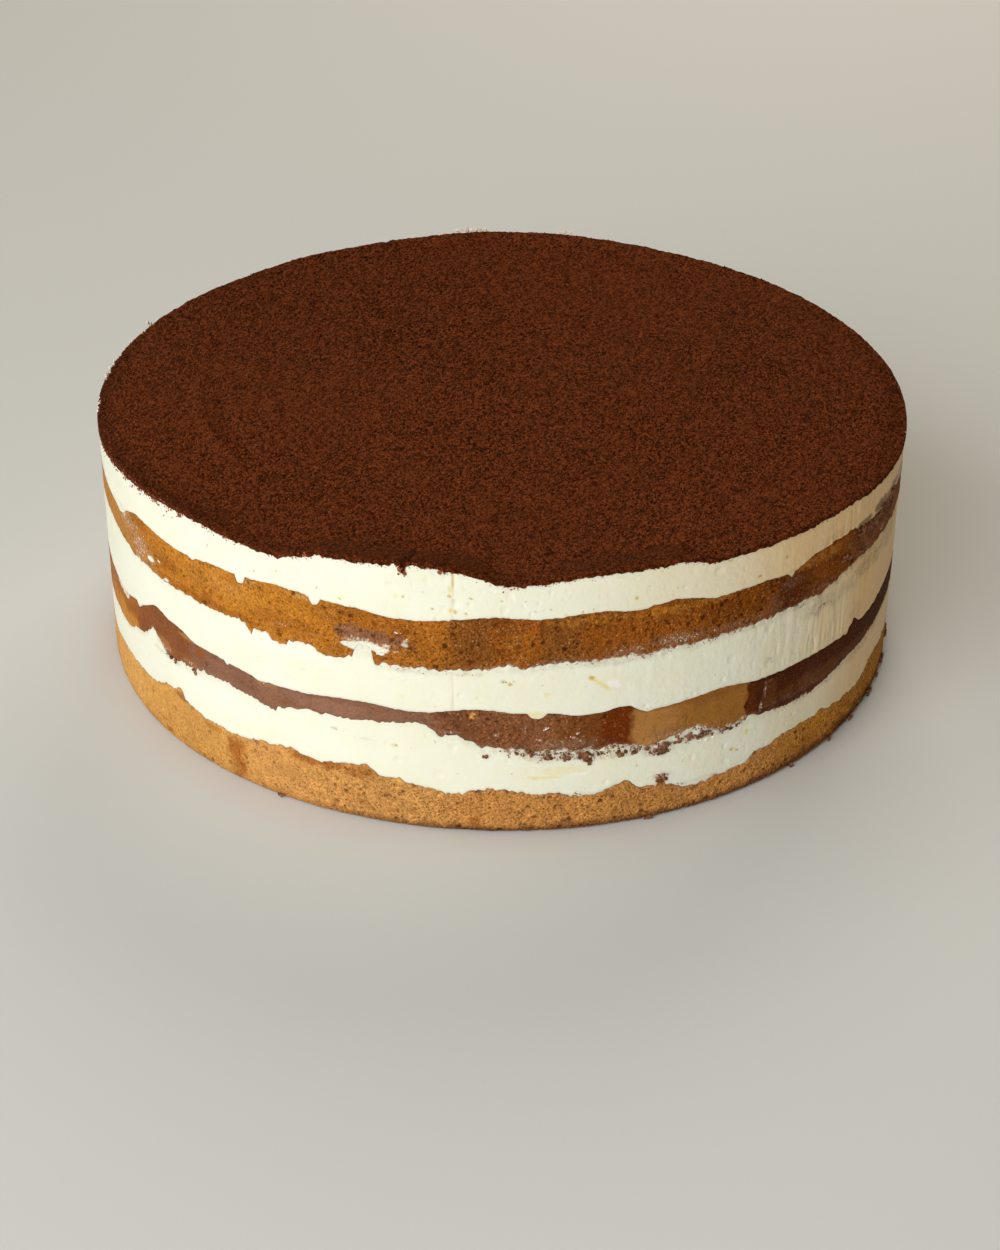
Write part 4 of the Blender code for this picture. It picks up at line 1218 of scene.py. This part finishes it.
# Dark crumbs smeared over the top sponge's edge at the right, in the same measures
RIGHT_CLUMPS = (
    (56.5, 70.6, 4.0, 1.6, 16), (60.5, 69.6, 4.5, 2.0, 26), (64.5, 70.4, 4.5, 2.2, 30),
    (69.0, 70.0, 5.0, 2.6, 28), (53.0, 65.5, 3.0, 2.2, 9), (57.5, 63.8, 3.0, 1.8, 9),
)
# Clods of cocoa that hang at the rim, in the same measures
RIM_CLODS = (
    (-12.3, 87.0, 0.8, 0.9, 9), (-11.9, 86.1, 0.6, 0.5, 5), (-12.7, 85.7, 0.3, 0.3, 2),
    (-7.1, 87.4, 1.1, 0.4, 6), (-25.5, 86.6, 1.6, 0.7, 6), (-22.4, 87.2, 1.4, 0.5, 5),
    (-37.5, 83.6, 1.2, 0.5, 5), (-46.5, 83.4, 1.2, 0.5, 5), (-52.0, 83.2, 1.4, 0.6, 6),
)
# Dark bits of crust along the foot, in the same measures
CRUST_CLUMPS = (
    (81.0, 4.8, 1.6, 1.3, 14), (83.0, 4.5, 0.8, 0.7, 6), (66.5, 1.2, 2.0, 0.7, 10),
    (59.0, 0.9, 1.8, 0.5, 8), (76.0, 1.6, 1.8, 0.9, 9), (71.5, 1.4, 1.2, 0.6, 5),
    (52.5, 0.8, 1.2, 0.4, 4), (88.0, 1.8, 1.8, 0.9, 7), (20.0, 0.7, 1.4, 0.4, 4),
    (-30.0, 0.7, 1.2, 0.4, 3), (44.0, 0.8, 1.0, 0.4, 3),
)
# Single bits of cream: azimuth, height and size in millimetres
CREAM_BITS = (
    (6.0, 36.1, 0.30), (6.3, 36.5, 0.20), (5.7, 35.7, 0.20), (9.5, 32.5, 0.26),
    (9.2, 32.9, 0.20), (10.1, 33.7, 0.26), (10.3, 34.1, 0.18), (5.2, 32.4, 0.26),
    (4.8, 32.7, 0.18), (-0.4, 34.3, 0.22), (-0.1, 33.9, 0.16), (28.7, 24.0, 0.9),
    (29.2, 23.5, 0.8), (28.2, 23.6, 0.8), (29.5, 24.6, 0.7), (29.8, 25.6, 0.6),
    (27.3, 23.9, 0.6), (-111.3, 83.6, 0.9), (-111.0, 84.6, 0.7),
    (-93.0, 83.2, 0.7), (-95.5, 83.3, 0.5), (-98.0, 83.1, 0.6), (-90.5, 82.6, 0.5),
    (170.1, 86.4, 0.9), (169.2, 86.3, 0.8), (171.0, 86.3, 0.7), (78.6, 81.4, 0.5),
)
# Loose bits of cream on the left rim: the middle azimuth and how far they spread
LEFT_RIM_BITS = (-100.0, 9.0)
# Where cocoa fell thick at the left, and more thinly at the front, in degrees, and the draws
# from 0 to 1 that put a grain there
LEFT_GRAINS, LEFT_ABOVE = (-97.0, -48.0), 0.52
FRONT_GRAINS, FRONT_BELOW = (-60.0, 12.0), 0.32
# Where crumbs stuck all along under the middle sponge: first and last azimuth, and the step
CRUMB_ROW = (0.5, 34.0, 0.7)
# Crumbs in the stains of the lower and the middle cream
LOWER_STAIN_CRUMBS, MIDDLE_STAIN_CRUMBS = 150, 70
# A curl of cream on the far rim: first and last azimuth, its bits, and its height
RIM_CURL = (-172.3, -176.9, 17)
CURL_LEVEL = 86.6 * MM


def clump_spots(draw, clumps, size, out):
    """Places and sizes of the lumps of some clumps."""
    spots = []
    for azimuth, height, half_width, half_height, count in clumps:
        for _ in range(count):
            turn, reach = draw.uniform(0, 2 * math.pi), math.sqrt(draw.random())
            across = half_width * reach * math.cos(turn) * MM
            spots.append((azimuth + math.degrees(across / RADIUS),
                          (height + half_height * reach * math.sin(turn)) * MM,
                          RADIUS + out + draw.uniform(-0.30, 0.10) * MM,
                          size * draw.uniform(0.6, 1.25)))
    return spots


def bits_in(draw, patches, count, low, high):
    """Places and sizes of loose bits in some patches, more of them in the strong ones."""
    weights = np.array([math.sqrt(patch[2] * patch[3]) * max(patch[-1] - 0.38, 0.0)
                        for patch in patches])
    spots = []
    for pick in draw.choice(len(patches), count, p=weights / weights.sum()):
        centre, level, half_width, half_height = patches[pick][:4]
        across, up = draw.normal(0.0, 0.5, 2)
        spots.append((centre + half_width * across, (level + half_height * up) * MM,
                      RADIUS - 0.42 * MM, draw.uniform(low, high) * MM))
    return spots


def repeat_lump(lump, count):
    """Join copies of a lump by doubling them, and return how many there are now."""
    made = 1
    while made < count:
        deselect()
        lump.select_set(True)
        bpy.context.view_layer.objects.active = lump
        bpy.ops.object.duplicate()
        lump.select_set(True)
        bpy.context.view_layer.objects.active = lump
        bpy.ops.object.join()
        made *= 2
    return made


def scatter(name, spots, material, seed, faces=1):
    """Small lumps of one kind joined into one piece, a lump for each azimuth, height, radius
    and size. They are round with the faces of an ico sphere, or cones where faces is 0."""
    draw = np.random.default_rng(seed)
    deselect()
    if faces:
        bpy.ops.mesh.primitive_ico_sphere_add(subdivisions=faces, radius=1.0)
    else:
        bpy.ops.mesh.primitive_cone_add(vertices=3, radius1=1.0, depth=1.5, end_fill_type="NGON")
    lump = bpy.context.object
    lump.name = lump.data.name = name
    ball = points_of(lump)
    made = repeat_lump(lump, len(spots))
    if made > len(spots):
        bpy.ops.object.mode_set(mode="EDIT")
        bpy.ops.mesh.select_mode(type="VERT")
        bpy.ops.mesh.select_all(action="DESELECT")
        mesh = bmesh.from_edit_mesh(lump.data)
        mesh.verts.ensure_lookup_table()
        for vertex in mesh.verts[len(spots) * len(ball):]:
            vertex.select_set(True)
        bmesh.update_edit_mesh(lump.data)
        bpy.ops.mesh.delete(type="VERT")
        bpy.ops.object.mode_set(mode="OBJECT")
    azimuth, height, radius, size = np.array(spots, float).T[:, :, None]
    count = len(spots)
    rough = np.repeat(ball[None], count, axis=0) * draw.uniform(0.75, 1.2, (count, len(ball), 1))
    rough *= draw.uniform(0.6, 1.3, (count, 1, 3)) * size[:, :, None]
    spin = draw.uniform(0, math.pi, (count, 1))
    across = rough[:, :, 0] * np.cos(spin) - rough[:, :, 1] * np.sin(spin)
    up = rough[:, :, 0] * np.sin(spin) + rough[:, :, 1] * np.cos(spin)
    out = radius + 0.6 * rough[:, :, 2]
    turn = np.radians(azimuth)
    places = np.stack([out * np.sin(turn) + across * np.cos(turn),
                       -out * np.cos(turn) + across * np.sin(turn),
                       np.clip(height + up, 0.02 * MM, CAD_HIGH[2])], axis=-1)
    place_points(lump, places.reshape(-1, 3))
    set_mask(lump, "lot", np.repeat(draw.uniform(-0.8, 0.8, count), len(ball)))
    shade(lump, 40.0)
    finish_piece(lump, material, None)


class CakeSizes(PropertyGroup):
    clod_count: IntProperty(
        name="Cocoa clods", description="Little clods that roughen the cocoa",
        default=46000, min=10, max=48000)
    grain_count: IntProperty(
        name="Fallen grains", description="Cocoa grains on the cream under the rim",
        default=2600, min=10, max=4000)
    crumb_size: FloatProperty(
        name="Crumb size", description="Half the width of a clinging lump of crumb",
        default=0.62 * MM, subtype="DISTANCE", unit="LENGTH")
    fleck_count: IntProperty(
        name="Cream flecks", description="Flecks of cream on the sponges' sides",
        default=420, min=10, max=3000)


def color_setting(name, about, value):
    """A colour of the sidebar."""
    return FloatVectorProperty(name=name, description=about, subtype="COLOR", default=value,
                               min=0, max=1)


class CakeLooks(PropertyGroup):
    cream_color: color_setting("Cream", "Main colour of the cream", (0.887, 0.898, 0.762))
    cream_shade: color_setting(
        "Cream blotches", "Second colour of the cream", (0.872, 0.874, 0.706))
    dab_color: color_setting("Dabs", "Whiter dabs in the cream", (0.97, 0.965, 0.90))
    # Partly the soaked sponges' tint, partly painted warm shade on the right side
    tan_and_shade_color: color_setting(
        "Tanned and shaded cream", "Cream tinted by the soaked sponges and painted with warm shade at the right", (0.84, 0.565, 0.265))
    butter_color: color_setting("Butter", "Streaks and the seam in the cream", (0.84, 0.73, 0.26))
    stain_color: color_setting("Stain", "Crumb that shows through thin cream", (0.47, 0.38, 0.30))
    olive_color: color_setting(
        "Dark stain", "Soaked crumb under tanned and shaded cream", (0.17, 0.105, 0.035))
    soaked_color: color_setting(
        "Soaked bits", "Soaked bits where the cream is thinnest", (0.27, 0.14, 0.075))
    speck_color: color_setting("Specks", "Tan specks in the cream", (0.56, 0.36, 0.03))
    smear_color: color_setting(
        "Smeared cream", "Thick bits of cream on a sponge", (0.74, 0.58, 0.43))
    film_color: color_setting("Cream film", "Thin cream over a sponge", (0.42, 0.27, 0.185))
    glint_color: color_setting("Crumb glints", "Pale grains of the crumb", (0.74, 0.42, 0.20))
    crumb_color: color_setting(
        "Soaked crumb", "Dark side of the clinging crumbs", (0.085, 0.027, 0.011))
    crumb_light: color_setting(
        "Golden crumb", "Light side of the clinging crumbs", (0.34, 0.150, 0.072))
    cocoa_color: color_setting("Cocoa", "Lighter grains of the cocoa", (0.240, 0.054, 0.0135))
    cocoa_dark: color_setting("Dark cocoa", "Darker grains of the cocoa", (0.028, 0.0040, 0.0003))
    cocoa_warm: color_setting(
        "Warm cocoa", "Broad warm patches of the cocoa", (0.145, 0.032, 0.007))
    sheen_color: color_setting("Cocoa sheen", "Dusty sheen at the far side", (0.95, 0.50, 0.32))
    # Painted shade of the cocoa, inside the rim and on its edge
    cocoa_shade_color: color_setting(
        "Cocoa shade", "Painted shade inside the rim and on its edge", (0.020, 0.004, 0.001))
    dust_color: color_setting("Cocoa dust", "Cocoa dust on the cream", (0.37, 0.120, 0.075))


class CAKE_OT_sponges(Operator):
    """Bake the three sponges"""

    bl_idname = "cake.sponges"
    bl_label = "Bake Sponges"

    def execute(self, context):
        looks, groups = context.scene.cake_looks, food_groups()
        for name, plan in SPONGES.items():
            material = sponge_material(plan["slot"], groups, looks, plan["wetness"])
            bake_sponge(name, plan, material)
        return {"FINISHED"}


class CAKE_OT_creams(Operator):
    """Spread the three layers of cream"""

    bl_idname = "cake.creams"
    bl_label = "Spread Creams"

    def execute(self, context):
        material = cream_material(food_groups(), context.scene.cake_looks)
        for name, plan in CREAMS.items():
            spread_cream(name, plan, material)
        return {"FINISHED"}


class CAKE_OT_cocoa(Operator):
    """Sift the cocoa over the top"""

    bl_idname = "cake.cocoa"
    bl_label = "Sift Cocoa"

    def execute(self, context):
        material = cocoa_material(food_groups(), context.scene.cake_looks)
        sift_cocoa(material)
        draw = np.random.default_rng(721)
        count = context.scene.cake_sizes.clod_count
        azimuth = draw.uniform(-180.0, 180.0, count)
        radius = (RADIUS - 0.8 * MM) * np.sqrt(draw.random(count))
        turn = np.radians(azimuth)
        flat = np.column_stack([radius * np.sin(turn), -radius * np.cos(turn)])
        size = draw.uniform(0.28, 0.62, count) * MM
        height = cocoa_height(flat) + 0.20 * size
        scatter("cocoa_clods", list(zip(azimuth, height, radius, size)), material, 722, 0)
        return {"FINISHED"}


class CAKE_OT_grains(Operator):
    """Drop cocoa grains on the cream under the rim"""

    bl_idname = "cake.grains"
    bl_label = "Drop Grains"

    def execute(self, context):
        draw = np.random.default_rng(801)
        count = context.scene.cake_sizes.grain_count
        azimuth = draw.uniform(-180.0, 180.0, count)
        kind = draw.random(count)
        azimuth = np.where(kind < FRONT_BELOW, draw.uniform(*FRONT_GRAINS, count), azimuth)
        left = kind > LEFT_ABOVE
        azimuth = np.where(left, draw.uniform(*LEFT_GRAINS, count), azimuth)
        drop = draw.exponential(np.where(left, 0.65, 0.4), count) * MM
        height = LINES["rim"].at_rim(azimuth) + 0.40 * MM - np.minimum(drop, 5 * MM)
        size = draw.uniform(0.12, 0.30, count) * np.where(left, 1.25, 1.0) * MM
        radius = np.full(count, RADIUS - 0.25 * MM)
        spots = list(zip(azimuth, height, radius, size))
        spots += clump_spots(draw, RIM_CLODS, 0.5 * MM, -0.1 * MM)
        looks = context.scene.cake_looks
        material = crumb_material("cocoa_grain", food_groups(), tuple(looks.cocoa_color),
                                  tuple(looks.dust_color))
        scatter("cocoa_grains", spots, material, 802)
        return {"FINISHED"}


class CAKE_OT_crumbs(Operator):
    """Press crumbs of sponge into the cream and along the foot"""

    bl_idname = "cake.crumbs"
    bl_label = "Press Crumbs"

    def execute(self, context):
        draw = np.random.default_rng(811)
        size = context.scene.cake_sizes.crumb_size
        spots = clump_spots(draw, CRUMB_CLUMPS, size, 0.0)
        spots += clump_spots(draw, CRUST_CLUMPS, size, 0.1 * MM)
        spots += bits_in(draw, LOWER_CREAM_STAINS, LOWER_STAIN_CRUMBS, 0.14, 0.34)
        spots += bits_in(draw, MIDDLE_CREAM_STAINS, MIDDLE_STAIN_CRUMBS, 0.12, 0.28)
        for layer, count in (("cream_lower", 9), ("cream_middle", 4)):
            clumps = [(azimuth, level, 2.0 * width, 0.8 * tall, 5)
                      for azimuth, level, width, tall, _
                      in strewn(CREAMS[layer], 813, count, 0.9, 0.84, 0.96, 1.0, 1.0)]
            spots += clump_spots(draw, clumps, 0.8 * size, 0.0)
        places = np.arange(*CRUMB_ROW)
        levels = LINES["middle_under"].height(places, np.zeros_like(places)) / MM
        levels -= draw.uniform(0.3, 2.6, len(places))
        clumps = [(*place, 0.9, 0.6, 3) for place in zip(places, levels)]
        spots += clump_spots(draw, clumps, 0.5 * size, 0.0)
        spots += clump_spots(draw, RIGHT_CLUMPS, 0.95 * size, 0.1 * MM)
        looks = context.scene.cake_looks
        material = crumb_material("soaked_crumb", food_groups(), tuple(looks.crumb_color),
                                  tuple(looks.crumb_light))
        scatter("cake_crumbs", spots, material, 812, 2)
        return {"FINISHED"}


class CAKE_OT_flecks(Operator):
    """Dot the sponges and the rim with flecks of cream"""

    bl_idname = "cake.flecks"
    bl_label = "Dot Flecks"

    def execute(self, context):
        draw = np.random.default_rng(821)
        spots = [(azimuth, height * MM, RADIUS - 0.4 * MM, size * MM)
                 for azimuth, height, size in CREAM_BITS]
        first, last, bits = RIM_CURL
        for azimuth in np.linspace(first, last, bits):
            spots.append((azimuth, CURL_LEVEL, RADIUS - 0.6 * MM,
                          draw.uniform(0.65, 0.95) * MM))
        count = context.scene.cake_sizes.fleck_count
        spots += bits_in(draw, TOP_SMEARS, round(count * 0.6), 0.10, 0.26)
        spots += bits_in(draw, MIDDLE_SMEARS, round(count * 0.25), 0.09, 0.20)
        for azimuth in draw.normal(*LEFT_RIM_BITS, round(count * 0.15)):
            height = float(LINES["rim"].at_rim(np.array([azimuth]))[0])
            spots.append((azimuth, height + draw.uniform(0.2, 1.4) * MM,
                          RADIUS - draw.uniform(0.2, 1.0) * MM, draw.uniform(0.35, 0.75) * MM))
        looks = context.scene.cake_looks
        material = crumb_material("cream_fleck", food_groups(), tuple(looks.smear_color),
                                  tuple(looks.dab_color))
        scatter("cream_flecks", spots, material, 822)
        return {"FINISHED"}


# The camera at the photo's viewing angle: tilt from straight down, and roll, in degrees
CAMERA_PLACE = (0.0, -0.70191, 0.41381)
CAMERA_TILT = 59.10
CAMERA_ROLL = 0.606
CAMERA_LENS = 68.66
CAMERA_SENSOR = 36.0

# A floor just under the foot, and the height that the lights aim at
FLOOR_SIZE = 6.0
FLOOR_LEVEL = -0.2 * MM
FLOOR_COLOR = (0.66, 0.675, 0.675, 1.0)
AIM_HEIGHT = 0.05
# Lights: name, place, size, power and colour
STUDIO_LIGHTS = (
    ("window_light", (-0.72, -1.40, 0.95), 1.5, 30.7, (1.0, 1.0, 0.99)),
    ("side_light", (-1.50, -0.15, 0.90), 1.2, 6.2, (0.96, 0.98, 1.0)),
    ("back_light", (0.35, 1.45, 1.10), 1.0, 13.0, (1.0, 0.93, 0.82)),
)
WORLD_COLOR = (1.0, 0.76, 0.36, 1.0)
WORLD_STRENGTH = 0.140


class CAKE_OT_stage(Operator):
    """Set the floor, the lights and the camera"""

    bl_idname = "cake.stage"
    bl_label = "Set Stage"

    def execute(self, context):
        deselect()
        bpy.ops.mesh.primitive_plane_add(size=FLOOR_SIZE, location=(0.0, 0.0, FLOOR_LEVEL))
        floor = context.object
        floor.name = "floor"
        material = bpy.data.materials.new("pale_floor")
        material.use_nodes = True
        shader = material.node_tree.nodes["Principled BSDF"]
        shader.inputs["Base Color"].default_value = FLOOR_COLOR
        shader.inputs["Roughness"].default_value = 0.7
        floor.data.materials.append(material)
        floor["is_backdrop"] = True
        for name, place, size, power, color in STUDIO_LIGHTS:
            light = bpy.data.lights.new(name, "AREA")
            light.shape, light.size, light.energy, light.color = "SQUARE", size, power, color
            lamp = bpy.data.objects.new(name, light)
            context.collection.objects.link(lamp)
            lamp.location = place
            aim = lamp.location.copy()
            aim.z -= AIM_HEIGHT
            lamp.rotation_euler = aim.to_track_quat("Z", "Y").to_euler()
        world = context.scene.world or bpy.data.worlds.new("studio")
        context.scene.world = world
        world.use_nodes = True
        sky = world.node_tree.nodes["Background"]
        sky.inputs["Color"].default_value = WORLD_COLOR
        sky.inputs["Strength"].default_value = WORLD_STRENGTH
        lens = bpy.data.cameras.new("camera")
        lens.lens, lens.sensor_width = CAMERA_LENS, CAMERA_SENSOR
        camera = bpy.data.objects.new("camera", lens)
        context.collection.objects.link(camera)
        camera.location = CAMERA_PLACE
        camera.rotation_mode = "QUATERNION"
        tilt = Quaternion((1.0, 0.0, 0.0), math.radians(CAMERA_TILT))
        roll = Quaternion((0.0, 0.0, 1.0), math.radians(CAMERA_ROLL))
        camera.rotation_quaternion = tilt @ roll
        context.scene.camera = camera
        context.scene.view_settings.view_transform = "Standard"
        return {"FINISHED"}


class CAKE_PT_panel(Panel):
    """Buttons that build the cake"""

    bl_label = "Layer Cake"
    bl_idname = "CAKE_PT_panel"
    bl_space_type = "VIEW_3D"
    bl_region_type = "UI"
    bl_category = "Cake"

    def draw(self, context):
        for group in (context.scene.cake_sizes, context.scene.cake_looks):
            for name in group.bl_rna.properties.keys():
                if name not in {"rna_type", "name"}:
                    self.layout.prop(group, name)
        for step in STEPS:
            self.layout.operator(step.bl_idname)


STEPS = (CAKE_OT_stage, CAKE_OT_sponges, CAKE_OT_creams, CAKE_OT_cocoa, CAKE_OT_grains,
         CAKE_OT_crumbs, CAKE_OT_flecks)
CLASSES = (CakeSizes, CakeLooks, *STEPS, CAKE_PT_panel)


def register():
    for kind in CLASSES:
        bpy.utils.register_class(kind)
    bpy.types.Scene.cake_sizes = PointerProperty(type=CakeSizes)
    bpy.types.Scene.cake_looks = PointerProperty(type=CakeLooks)


def unregister():
    del bpy.types.Scene.cake_looks
    del bpy.types.Scene.cake_sizes
    for kind in reversed(CLASSES):
        bpy.utils.unregister_class(kind)


def main():
    """Build the whole cake."""
    register()
    bpy.ops.cake.stage()
    bpy.ops.cake.sponges()
    bpy.ops.cake.creams()
    bpy.ops.cake.cocoa()
    bpy.ops.cake.grains()
    bpy.ops.cake.crumbs()
    bpy.ops.cake.flecks()


if __name__ == "__main__":
    main()
